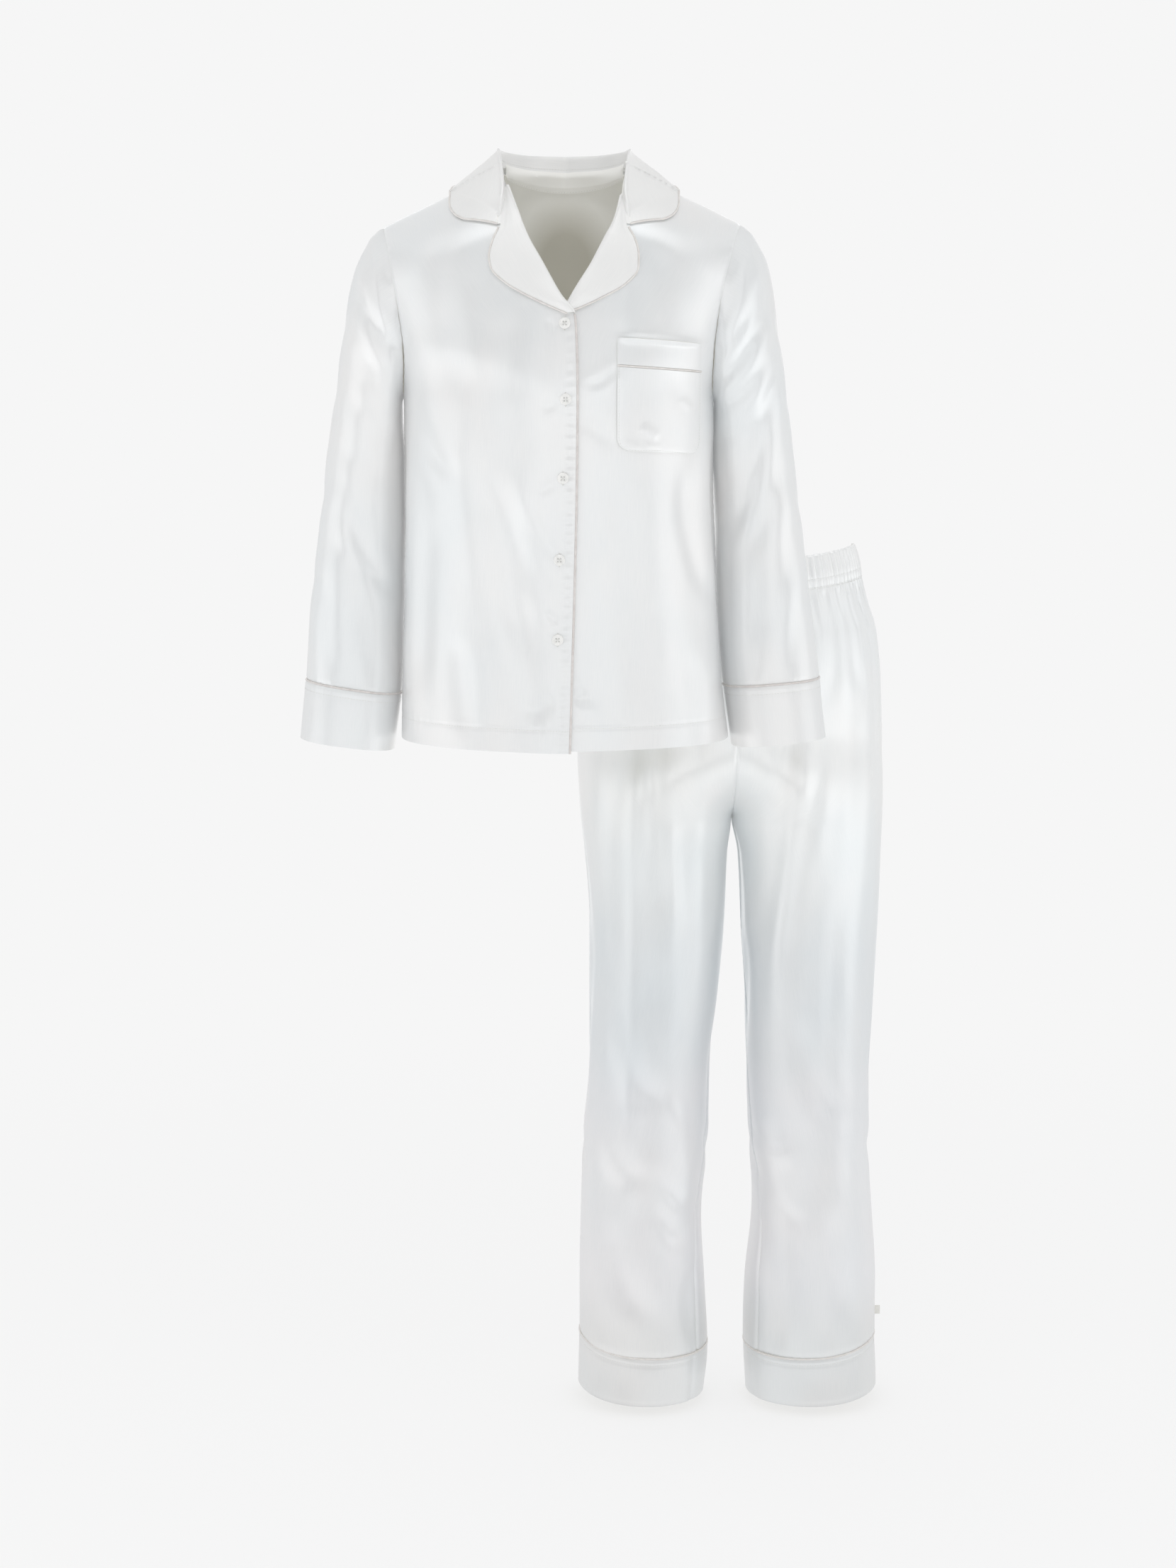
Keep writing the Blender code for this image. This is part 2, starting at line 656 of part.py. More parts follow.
CENTRE_X, CENTRE_Y = 203.0, 245.0
SPLIT_TOP, CROTCH = -640.0, -757.0  # where the ring starts to part into legs, and where it has
WAIST_SEAM = -462.0
WAIST_TOP = -422.0
WAIST_DIP = {FRONT: 16.0, BACK: 30.0}  # how much lower the waist lies in the middle than at the sides
DIP_FADE = 90.0  # height over which the panels' rows take that dip up
BAND_SEAM = -1427.0
LEG_HEM = -1488.0
LEG_SQUARENESS = 2.15
GATHERS = 24  # on each quarter of the waist
GATHER_DEPTH = 2.2
UNEVENNESS = 0.25  # share of a gather's depth that varies round the waist
INSEAM_TURN = math.radians(34)  # how far the inseam comes to the front at the hem
INSEAM_BEND = (-900.0, -1400.0)  # heights between which it does

HEM_RISE = Sections("z rise", (-1310, 0), (-1400, 11), (-1428, 14), (-1488, 9))  # at the outer seam
HEM_RISE_POWER = 3.5  # how close to the outer seam the hem rises

# Distance of each leg's outer and inner edge from the middle line.
LEG = {
    RIGHT: Sections("z outer inner", (-422, 150, 0), (-462, 157, 0), (-490, 165, 0),
                    (-525, 178, 0), (-600, 189, 0), (-680, 191, 0), (-757, 187, 0), (-801, 182, 5),
                    (-890, 176, 9), (-980, 176, 16), (-1070, 177, 25), (-1161, 183, 28),
                    (-1253, 187, 35), (-1345, 188, 30), (-1430, 188, 26), (-1488, 189, 30)),
    LEFT: Sections("z outer inner", (-422, 148, 0), (-462, 157, 0), (-490, 164, 0),
                   (-525, 175, 0), (-600, 183, 0), (-668, 186, 0), (-757, 185, 0), (-801, 183, 8),
                   (-890, 180, 13), (-980, 177, 18), (-1070, 174, 20), (-1161, 174, 24),
                   (-1253, 180, 29), (-1345, 184, 22), (-1430, 185, 20), (-1488, 188, 23)),
}
SEAT = Sections("z front back", (-422, 96, 100), (-462, 99, 105), (-530, 110, 121),
                (-600, 114, 126), (-680, 115, 124), (-757, 107, 113), (-850, 98, 104),
                (-1000, 90, 95), (-1200, 84, 88), (-1488, 80, 84))
LEG_FOLDS = {
    RIGHT: folds((86, -660, 76, -1180, 13, -5), (104, -640, 99, -1200, 12, 5),
                 (152, -640, 146, -960, 12, 6), (140, -1270, 178, -1310, 16, -4)),
    LEFT: folds((287, -660, 252, -980, 12, -6), (262, -640, 240, -900, 13, 6),
                (330, -700, 318, -1150, 18, 4), (232, -1130, 262, -1180, 16, -4)),
}
LEG_ROWS = (-560, -610, -655, -690, -720, -742, -757, -800, -880, -980, -1090, -1200, -1310)
LEG_COLUMNS = 12
GATHER_ROWS = ((WAIST_SEAM - SEAM, 2 * GATHERS, GATHER_DEPTH), (-480.0, GATHERS, 1.2),
               (-512.0, LEG_COLUMNS, 0.0))  # heights, points across, and how deep the gathers are
LEG_PART = SEAM + 2 * WALL * math.sin(math.pi / LEG_COLUMNS / 2)  # between skins, at a leg's seams
BACK_FOLD_SHARE = 0.8  # depth of the back's creases beside the other leg's front
BACK_FOLD_DROP = 30.0


def crotch_turn(z):
    """The turn at which a leg's ring meets the middle line: a quarter turn above, none below."""
    drop = min(max((SPLIT_TOP - z) / (SPLIT_TOP - CROTCH), 0.0), 1.0)
    return math.acos(drop)


def leg_at(turn, z, side, face, relief=0.0):
    """The skin of a leg, by the turn from its inner edge (0) to its outer one (pi)."""
    row, seat = LEG[side].at(z), SEAT.at(z)
    power = 2 / LEG_SQUARENESS
    along = math.copysign(abs(math.cos(turn)) ** power, math.cos(turn))
    meet_along = math.cos(crotch_turn(z)) ** power
    wide = (row.outer - row.inner) / (1 + meet_along)
    x = CENTRE_X + side * (row.inner + wide * (meet_along - along))
    deep = seat.front if face == FRONT else seat.back
    y = CENTRE_Y + face * deep * abs(math.sin(turn)) ** power
    rise = HEM_RISE.at(z).rise * ((1 - math.cos(turn)) / 2) ** HEM_RISE_POWER
    return Vector((x - side * relief * math.cos(turn), y + face * relief * math.sin(turn), z + rise))


def inseam_turn(z):
    """Where the inseam lies on the ring: at its inner edge above, towards the front at the hem."""
    start, end = INSEAM_BEND
    return INSEAM_TURN * ease((z - start) / (end - start))


def waist_dip(turn, face):
    """How much lower than at the side the waist lies."""
    return WAIST_DIP[face] * math.sin(turn) ** 2


def gather_wave(k, fullness):
    """Depth of a gather's valleys, uneven along the waist; every other point is a crest."""
    if k % 2:
        return 0.0
    vary = math.sin(2.4 * k) * math.cos(math.pi * k / GATHERS)
    return -fullness * (1 - UNEVENNESS + UNEVENNESS * vary)


def panel_turns(z, face, count):
    """Turns of a panel's points at one height, from the inner seam to the outer one."""
    inner = crotch_turn(z) if z > CROTCH else inseam_turn(z) * (1 if face == FRONT else -1)
    return [mix(inner, math.pi, k / count) for k in range(count + 1)]


def trouser_line(z, side, face, count, gather=0.0):
    """One row of a trouser panel, with its own number of points."""
    line = []
    for k, turn in enumerate(panel_turns(z, face, count)):
        relief = gather_wave(k, gather)
        where = face if turn >= 0 else FRONT
        point = leg_at(abs(turn), z, side, where, relief)
        if where == FRONT:
            point.y += fold_depth(LEG_FOLDS[side], point.x, z) * math.sin(abs(turn)) ** 0.5
        else:
            swapped = 2 * CENTRE_X - point.x
            depth = BACK_FOLD_SHARE * fold_depth(LEG_FOLDS[-side], swapped, z + BACK_FOLD_DROP)
            point.y -= depth * math.sin(turn) ** 0.5
        if z > LEG_ROWS[0]:
            point.z -= waist_dip(abs(turn), where) * ease((z - LEG_ROWS[0]) / DIP_FADE)
        line.append(point)
    return line


def part_seams(line, z, side, face):
    """Opens the gaps at a panel's two seams."""
    moved = [point.copy() for point in line]
    for point in moved:
        point.y += face * LEG_PART / 2
    if z >= CROTCH:
        moved[0].x += side * PART / 2
    return moved


def trouser_lines(side, face):
    """Rows of a trouser panel, from the gathered waist seam to the hem band's piping."""
    low = BAND_SEAM + PIPING_RADIUS + SEAM
    rows = [(float(z), LEG_COLUMNS, 0.0) for z in LEG_ROWS] + [(low, LEG_COLUMNS, 0.0)]
    return [part_seams(trouser_line(z, side, face, count, gather), z, side, face)
            for z, count, gather in (*GATHER_ROWS, *rows)]


def waist_ring(z):
    """One ring of the waistband, gathered all round."""
    ring = []
    for side, face in ((RIGHT, FRONT), (LEFT, FRONT), (LEFT, BACK), (RIGHT, BACK)):
        turns = panel_turns(z, face, 2 * GATHERS)
        line = []
        for k, turn in enumerate(turns):
            point = leg_at(turn, z, side, face, gather_wave(k, GATHER_DEPTH))
            point.z -= waist_dip(turn, face)
            line.append(point)
        if (side, face) in ((RIGHT, FRONT), (LEFT, BACK)):
            line.reverse()
        ring += line[:-1]
    return ring


def leg_ring(z, side):
    """One ring of a leg, with a point at the inseam."""
    front = [leg_at(abs(turn), z, side, FRONT) for turn in panel_turns(z, FRONT, LEG_COLUMNS)]
    back = []
    for turn in panel_turns(z, BACK, LEG_COLUMNS):
        back.append(leg_at(abs(turn), z, side, BACK if turn >= 0 else FRONT))
    return front + list(reversed(back))[1:-1]


# ---------------------------------------------------------------- making the objects

SATIN = SimpleNamespace(colour=(0.80, 0.82, 0.81), roughness=0.38, metallic=0.0)
FACING = SimpleNamespace(colour=(0.62, 0.61, 0.54), roughness=0.45, metallic=0.0)
CORD = SimpleNamespace(colour=(0.40, 0.34, 0.29), roughness=0.5, metallic=0.0)
SHELL = SimpleNamespace(colour=(0.72, 0.70, 0.66), roughness=0.25, metallic=0.0)
TAPE = SimpleNamespace(colour=(0.66, 0.64, 0.52), roughness=0.6, metallic=0.0)


def clear_scene():
    """Removes every object of the opened file."""
    for thing in list(bpy.data.objects):
        bpy.data.objects.remove(thing, do_unlink=True)


def collection(name):
    """A new collection in the scene."""
    made = bpy.data.collections.new(name)
    bpy.context.scene.collection.children.link(made)
    return made


def dress(thing, finish):
    """Gives an object its own material."""
    material = bpy.data.materials.new(thing.name)
    material.use_nodes = True
    shader = material.node_tree.nodes["Principled BSDF"]
    shader.inputs["Base Color"].default_value = (*finish.colour, 1.0)
    shader.inputs["Roughness"].default_value = finish.roughness
    shader.inputs["Metallic"].default_value = finish.metallic
    thing.data.materials.clear()
    thing.data.materials.append(material)


def zip_lines(mesh, upper, lower):
    """Joins two rows of vertices, whose counts may differ, by the shorter diagonal each time."""
    i = j = 0
    while i < len(upper) - 1 or j < len(lower) - 1:
        done_upper, done_lower = i / (len(upper) - 1), j / (len(lower) - 1)
        if len(upper) == len(lower):
            mesh.faces.new((upper[i], upper[i + 1], lower[j + 1], lower[j]))
            i, j = i + 1, j + 1
        elif done_upper + 0.5 / len(upper) < done_lower + 0.5 / len(lower):
            mesh.faces.new((upper[i], upper[i + 1], lower[j]))
            i += 1
        else:
            mesh.faces.new((upper[i], lower[j + 1], lower[j]))
            j += 1


def cloth(name, lines, parts, finish=SATIN, closed=False, outward=None, wall=WALL):
    """A piece of cloth: rows of points joined to a skin, turned outwards and given a wall."""
    mesh = bmesh.new()
    rows = [[mesh.verts.new(point * MM) for point in line] for line in lines]
    if closed:
        rows = [row + row[:1] for row in rows]
    for upper, lower in zip(rows, rows[1:]):
        zip_lines(mesh, upper, lower)
    mesh.normal_update()
    if outward is not None and turned_in(mesh, outward):
        bmesh.ops.reverse_faces(mesh, faces=mesh.faces[:])
    data = bpy.data.meshes.new(name)
    mesh.to_mesh(data)
    mesh.free()
    data.shade_smooth()
    thing = bpy.data.objects.new(name, data)
    parts.objects.link(thing)
    solidify = thing.modifiers.new("wall", "SOLIDIFY")
    solidify.thickness = wall * MM
    solidify.offset = -1.0
    dress(thing, finish)
    return thing


def turned_in(mesh, outward):
    """Whether a skin's faces point away from where they should, by a vote of their areas."""
    vote = 0.0
    for face in mesh.faces:
        vote += face.calc_area() * face.normal.dot(outward(face.calc_center_median() / MM))
    return vote < 0


def from_axis(x, y):
    """Outward directions about an upright axis."""
    return lambda point: Vector((point.x - x, point.y - y, 0.0)).normalized()


def from_sleeve(side):
    """Outward directions about a sleeve."""
    def outward(point):
        section = SLEEVE[side].at((-160 - point.z) / 400)
        return Vector((point.x - (section.outer_x + section.inner_x) / 2, point.y, 0)).normalized()
    return outward


def towards(x, y, z):
    """The same outward direction everywhere."""
    return lambda point: Vector((x, y, z)).normalized()


def cord(name, path, parts, closed=False, radius=PIPING_RADIUS):
    """A round cord along a path."""
    data = bpy.data.curves.new(name, "CURVE")
    data.dimensions = "3D"
    data.bevel_depth = radius * MM
    data.bevel_resolution = 1
    data.use_fill_caps = True
    spline = data.splines.new("POLY")
    spline.points.add(len(path) - 1)
    for point, place in zip(spline.points, path):
        point.co = (*(place * MM), 1.0)
    spline.use_cyclic_u = closed
    thing = bpy.data.objects.new(name, data)
    parts.objects.link(thing)
    dress(thing, CORD)
    return thing


def button_mesh(cutters):
    """A turned four-hole button, its back at the origin and its face towards +Z."""
    profile = ((0, BUTTON.thick * 0.7), (0.52, BUTTON.thick * 0.7), (0.74, BUTTON.thick),
               (1.0, BUTTON.thick * 0.7), (0.86, 0), (0, 0))
    mesh = bmesh.new()
    points = [mesh.verts.new((share * BUTTON.radius * MM, 0, height * MM))
              for share, height in profile]
    for first, second in zip(points, points[1:]):
        mesh.edges.new((first, second))
    bmesh.ops.spin(mesh, geom=mesh.verts[:] + mesh.edges[:], cent=(0, 0, 0), axis=(0, 0, 1),
                   angle=2 * math.pi, steps=12, use_merge=True)
    bmesh.ops.remove_doubles(mesh, verts=mesh.verts[:], dist=1e-6)
    bmesh.ops.recalc_face_normals(mesh, faces=mesh.faces[:])
    data = bpy.data.meshes.new("button")
    mesh.to_mesh(data)
    mesh.free()
    blank = bpy.data.objects.new("button_blank", data)
    cutters.objects.link(blank)
    drills = bmesh.new()
    for x in (-1, 1):
        for y in (-1, 1):
            place = Matrix.Translation((x * BUTTON.pitch * MM, y * BUTTON.pitch * MM, 0))
            bmesh.ops.create_cone(drills, cap_ends=True, segments=5, radius1=BUTTON.hole * MM,
                                  radius2=BUTTON.hole * MM, depth=4 * BUTTON.thick * MM, matrix=place)
    drill_data = bpy.data.meshes.new("button_drill")
    drills.to_mesh(drill_data)
    drills.free()
    drill = bpy.data.objects.new("button_drill", drill_data)
    cutters.objects.link(drill)
    for helper in (blank, drill):
        helper.hide_render = True
        helper.display_type = "WIRE"
    cut = blank.modifiers.new("holes", "BOOLEAN")
    cut.operation = "DIFFERENCE"
    cut.object = drill
    bpy.context.view_layer.update()
    evaluated = blank.evaluated_get(bpy.context.evaluated_depsgraph_get())
    return bpy.data.meshes.new_from_object(evaluated)


def make_buttons(parts, cutters):
    """Five buttons, each seated on the right front."""
    data = button_mesh(cutters)
    for number, (x, z) in enumerate(BUTTON_PLACES, 1):
        normal = torso_normal(torso_angle(x, z), z, FRONT)
        lift = LAP.lift + BUTTON.lift - fold_depth(TOP_FOLDS, x, z)
        thing = bpy.data.objects.new(f"button_{number}", data.copy())
        thing.location = on_torso(x, z, FRONT, lift) * MM
        thing.rotation_euler = normal.to_track_quat("Z", "Y").to_euler()
        parts.objects.link(thing)
        dress(thing, SHELL)


def make_top(parts, cutters):
    """Every piece of the top."""
    torso = from_axis(0, 0)
    cloth("top_back", back_sheet(), parts, outward=torso)
    for side, name in ((RIGHT, "right"), (LEFT, "left")):
        cloth(f"top_front_{name}", front_sheet(side), parts, outward=torso)
        cloth(f"sleeve_{name}", sleeve_sheet(side), parts, closed=True, outward=from_sleeve(side))
        cloth(f"cuff_{name}", cuff_sheet(side), parts, closed=True, outward=from_sleeve(side))
        cord(f"piping_cuff_{name}", cuff_piping(side), parts, closed=True)
        cloth(f"lapel_{name}", lapel_sheet(side), parts, outward=towards(0, -1, 0))
        cord(f"piping_lapel_{name}", lapel_piping(side), parts)
    cloth("collar", collar_sheet(), parts, outward=collar_outward)
    cord("piping_collar", collar_piping(), parts)
    cloth("neck_facing", neck_facing_sheet(), parts, FACING, outward=towards(0, -1, 0))
    cord("piping_front", front_piping(), parts)
    below_band = POCKET.band + 2 * (PIPING_RADIUS + SEAM)
    cloth("pocket_band", pocket_sheet(0, POCKET.band, 2, 8), parts, outward=towards(0, -1, 0))
    cloth("pocket", pocket_sheet(below_band, POCKET.depth, 7, 8), parts, outward=towards(0, -1, 0))
    cord("piping_pocket", pocket_piping(), parts)
    make_buttons(parts, cutters)


def collar_outward(point):
    """Outward direction of the collar's leaf; the stand's faces are few and follow it."""
    return Vector((point.x, point.y, 40.0)).normalized()


TAB = SimpleNamespace(wide=8.0, thick=1.2, tall=11.0, z=-1400.0)


def make_side_tab(parts):
    """A small plain tab caught in the left leg's outer seam."""
    seam = leg_at(math.pi, TAB.z, LEFT, FRONT)
    mesh = bmesh.new()
    bmesh.ops.create_cube(mesh, size=1.0)
    bmesh.ops.scale(mesh, vec=(TAB.wide * MM, TAB.thick * MM, TAB.tall * MM), verts=mesh.verts[:])
    data = bpy.data.meshes.new("side_tab")
    mesh.to_mesh(data)
    mesh.free()
    thing = bpy.data.objects.new("side_tab", data)
    thing.location = (seam + Vector((TAB.wide / 2 + SEAM, 0, 0))) * MM
    parts.objects.link(thing)
    dress(thing, TAPE)


def make_trousers(parts):
    """Every piece of the trousers."""
    for side, name in ((RIGHT, "right"), (LEFT, "left")):
        axis = from_axis(CENTRE_X + side * 100, CENTRE_Y)
        for face, label in ((FRONT, "front"), (BACK, "back")):
            cloth(f"trouser_{label}_{name}", trouser_lines(side, face), parts, outward=axis)
        low = BAND_SEAM - PIPING_RADIUS - SEAM
        rings = [leg_ring(z, side) for z in (low, (low + LEG_HEM) / 2, LEG_HEM)]
        cloth(f"leg_band_{name}", rings, parts, closed=True, outward=axis)
        cord(f"piping_leg_{name}", leg_ring(BAND_SEAM, side), parts, closed=True)
    rings = [waist_ring(WAIST_TOP), waist_ring(WAIST_SEAM)]
    cloth("waistband", rings, parts, closed=True, outward=from_axis(CENTRE_X, CENTRE_Y))
    make_side_tab(parts)


def main():
    """Builds the pyjama set."""
    clear_scene()
    parts = collection("pyjama_set")
    cutters = collection("cutters")
    make_top(parts, cutters)
    make_trousers(parts)


main()
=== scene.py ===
"""The looks of a satin pyjama set: a notch-collar top, and trousers with a gathered waist.

Each cloth piece is a thin shell on the form of its solid, with its creases, seams and stitches.
Lengths are in millimetres until a mesh is made, +X is the wearer's left and +Y the wearer's back.
"""
from __future__ import annotations

import logging
import math
from dataclasses import dataclass, field, replace
from enum import Enum
from typing import Callable, Protocol, Sequence

import bmesh
import bpy
import numpy as np
from mathutils import Matrix, Vector


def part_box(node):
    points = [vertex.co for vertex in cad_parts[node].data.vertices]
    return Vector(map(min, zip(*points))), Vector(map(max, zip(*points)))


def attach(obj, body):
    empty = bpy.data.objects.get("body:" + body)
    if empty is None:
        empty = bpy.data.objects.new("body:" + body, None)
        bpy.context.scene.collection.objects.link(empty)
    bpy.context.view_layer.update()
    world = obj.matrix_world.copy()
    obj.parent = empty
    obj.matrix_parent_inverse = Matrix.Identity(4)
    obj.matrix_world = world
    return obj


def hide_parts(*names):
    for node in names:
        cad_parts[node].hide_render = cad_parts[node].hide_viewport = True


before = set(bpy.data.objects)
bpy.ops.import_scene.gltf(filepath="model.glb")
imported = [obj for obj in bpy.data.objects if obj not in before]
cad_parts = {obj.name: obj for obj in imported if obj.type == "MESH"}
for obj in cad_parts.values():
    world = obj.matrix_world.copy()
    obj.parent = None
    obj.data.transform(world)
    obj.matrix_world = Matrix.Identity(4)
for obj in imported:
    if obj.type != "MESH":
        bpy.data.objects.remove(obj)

LOG = logging.getLogger("pyjama_set")
MM = 0.001
TINY = 1e-9
BODY = "root"
# The turns from which an edge is shown sharp.
CLOTH_SHARP, CORD_SHARP, BUTTON_SHARP = (math.radians(turn) for turn in (55, 60, 40))
# The piping cord: its radius, how far past its cloth's edge it lies, and how far under the face.
CORD_RADIUS, CORD_REACH, CORD_SINK = 1.1, 1.3, 0.35

Array = np.ndarray
Grid = np.ndarray
Colour = tuple[float, float, float]
Socket = bpy.types.NodeSocket


class Side(Enum):
    """The wearer's sides, by the sign of x."""

    RIGHT = -1
    LEFT = 1

    @property
    def word(self) -> str:
        """The side's name, as the nodes have it."""
        return self.name.lower()


class Face(Enum):
    """The faces of a garment, by the sign of y."""

    FRONT = -1
    BACK = 1

    @property
    def word(self) -> str:
        """The face's name, as the nodes have it."""
        return self.name.lower()


class View(Enum):
    """Where a crease is drawn from: the axis that points at the eye, and its sign."""

    FRONT = (1, -1)
    BACK = (1, 1)
    RIGHT = (0, -1)
    LEFT = (0, 1)


class Roll(Enum):
    """How a crease is rounded across its width."""

    SOFT = "soft"
    BANKED = "banked"


class Edge(Enum):
    """The edges of a skin's grid: its axis, and whether it is the first line on it."""

    TOP = (0, True)
    BOTTOM = (0, False)
    NEAR = (1, True)
    FAR = (1, False)


# ------------------------------------------------------------------ numbers and tables


def mix(a: Array | float, b: Array | float, t: Array | float) -> Array:
    """The value a share t of the way from a to b."""
    return a + (b - a) * t


def ease(t: Array | float) -> Array:
    """A smooth step from 0 to 1."""
    t = np.clip(t, 0.0, 1.0)
    return t * t * (3 - 2 * t)


def unit(vectors: Grid) -> Grid:
    """The vectors at length 1."""
    return vectors / (np.linalg.norm(vectors, axis=-1, keepdims=True) + TINY)


def points_of(x: Array, y: Array, z: Array) -> Grid:
    """Points from their coordinates."""
    return np.stack(np.broadcast_arrays(x, y, z), axis=-1).astype(float)


def from_axis(points: Grid, x: float, y: float) -> Grid:
    """The level directions to points from an upright axis."""
    return (points - np.array([x, y, 0.0])) * (1, 1, 0)


def circle(count: int) -> Array:
    """Even turns round a circle."""
    return np.linspace(0, 2 * math.pi, count, endpoint=False)


def dot(a: Grid, b: Grid) -> Array:
    """The products of two lists of vectors."""
    return np.sum(a * b, axis=-1)


def run_of(path: Grid) -> Array:
    """The length of a path up to each of its points."""
    return np.concatenate([[0.0], np.cumsum(np.linalg.norm(np.diff(path, axis=0), axis=-1))])


def read_along(path: Grid, run: Array, at: Array | float) -> Grid:
    """A path's points where a measure that grows along it has the given values."""
    return np.stack([np.interp(at, run, path[:, n]) for n in range(3)], axis=-1)


class Sections:
    """A short table of named columns, read smoothly at any value of its first column."""

    def __init__(self, columns: str, *rows: tuple[float, ...]) -> None:
        """Takes the columns' names and the rows.

        Args:
            columns: the names, the key's first, with spaces between.
            rows: one tuple for each section, in any order.
        """
        table = np.array(sorted(rows), dtype=float)
        runs = np.diff(table, axis=0) / np.diff(table[:, :1], axis=0)
        before, after = np.vstack([runs[:1], runs]), np.vstack([runs, runs[-1:]])
        same_way = before * after > 0
        total = np.where(same_way, before + after, 1.0)
        slopes = np.where(same_way, 2 * before * after / total, 0.0)
        self.keys = table[:, 0]
        self.values = dict(zip(columns.split(), table.T))
        self.slopes = dict(zip(columns.split(), slopes.T))

    def read(self, name: str, key: Array | float) -> Array:
        """One column at any keys.

        Args:
            name: the column.
            key: where to read it.

        Returns:
            The values, in the keys' own shape.
        """
        keys = self.keys
        key = np.clip(key, keys[0], keys[-1])
        low = np.clip(np.searchsorted(keys, key, side="right") - 1, 0, len(keys) - 2)
        span = keys[low + 1] - keys[low]
        t = (key - keys[low]) / span
        value, slope = self.values[name], self.slopes[name]
        bend = slope[low] * (t - 2 * t**2 + t**3) + slope[low + 1] * (t**3 - t**2)
        return mix(value[low], value[low + 1], 3 * t**2 - 2 * t**3) + bend * span


class Noise:
    """Smooth noise between -1 and 1, the same on every run."""

    SIZE = 32

    def __init__(self, seed: int) -> None:
        """Fills the lattice from a seed."""
        self.lattice = np.random.default_rng(seed).uniform(-1, 1, (self.SIZE,) * 3)

    def at(self, points: Grid) -> Array:
        """The noise at points whose unit is one cell of it.

        Args:
            points: the points.

        Returns:
            The noise at each.
        """
        base = np.floor(points).astype(int)
        t = ease(points - base)
        total = np.zeros(points.shape[:-1])
        for corner in np.ndindex(2, 2, 2):
            weight = np.prod(np.where(corner, t, 1 - t), axis=-1)
            index = np.moveaxis((base + corner) % self.SIZE, -1, 0)
            total += weight * self.lattice[tuple(index)]
        return total


# ------------------------------------------------------------------ skins and what presses them


@dataclass
class Skin:
    """The outer face of a piece of cloth, as rows and columns of points."""

    points: Grid
    outward: Grid
    wrapped: bool = False

    def normals(self) -> Grid:
        """The outward direction at each point.

        Returns:
            The normals, of length 1.
        """
        down = np.gradient(self.points, axis=0)
        if self.wrapped:
            across = np.roll(self.points, -1, 1) - np.roll(self.points, 1, 1)
        else:
            across = np.gradient(self.points, axis=1)
        normals = np.cross(across, down)
        size = np.linalg.norm(normals, axis=-1, keepdims=True)
        outward = unit(np.broadcast_to(self.outward, self.points.shape))
        if np.sum(normals * outward) < 0:
            normals = -normals
        return np.where(size > 1e-6, unit(normals), outward)

    def pressed(self, *forms: Form) -> Skin:
        """A copy that the forms have sunk along its own normals.

        Args:
            forms: what presses the skin.

        Returns:
            The pressed skin.
        """
        normals = self.normals()
        depth = sum(form.sink(self, normals) for form in forms)
        return replace(self, points=self.points - normals * depth[..., None])

    def run(self, axis: int) -> Array:
        """The length of cloth from the first line of an axis to each point.

        Args:
            axis: 0 down the rows, 1 across the columns.

        Returns:
            The lengths.
        """
        steps = np.linalg.norm(np.diff(self.points, axis=axis), axis=-1)
        zero = np.zeros_like(np.take(steps, [0], axis=axis))
        return np.concatenate([zero, np.cumsum(steps, axis=axis)], axis=axis)

    def distance(self, edge: Edge) -> Array:
        """The length of cloth from an edge to each point.

        Args:
            edge: the edge.

        Returns:
            The lengths.
        """
        axis, first = edge.value
        run = self.run(axis)
        return run if first else np.take(run, [-1], axis=axis) - run

    def along(self, edge: Edge) -> Array:
        """The length of cloth along an edge, for each point.

        Args:
            edge: the edge.

        Returns:
            The lengths.
        """
        axis, first = edge.value
        return np.take(self.run(1 - axis), [0 if first else -1], axis=axis) + np.zeros(
            self.points.shape[:-1])

    def trace(self, edge: Edge, offset: float, lift: float = 0.1) -> tuple[Grid, Grid]:
        """A path on the skin beside an edge.

        Args:
            edge: the edge that it follows.
            offset: its distance from that edge.
            lift: its height over the skin.

        Returns:
            The path's points, and the skin's normals there.
        """
        axis, first = edge.value
        distance, normals = self.distance(edge), self.normals()
        path, ways = [], []
        for k in range(self.points.shape[1 - axis]):
            gaps = distance[:, k] if axis == 0 else distance[k]
            line = self.points[:, k] if axis == 0 else self.points[k]
            way = normals[:, k] if axis == 0 else normals[k]
            if not first:
                gaps, line, way = gaps[::-1], line[::-1], way[::-1]
            path.append(read_along(line, gaps, offset))
            ways.append(read_along(way, gaps, offset))
        ways = unit(np.array(ways))
        return np.array(path) + ways * lift, ways


class Form(Protocol):
    """Anything that presses a skin."""

    def sink(self, skin: Skin, normals: Grid) -> Array:
        """How far it sinks each point, in millimetres."""


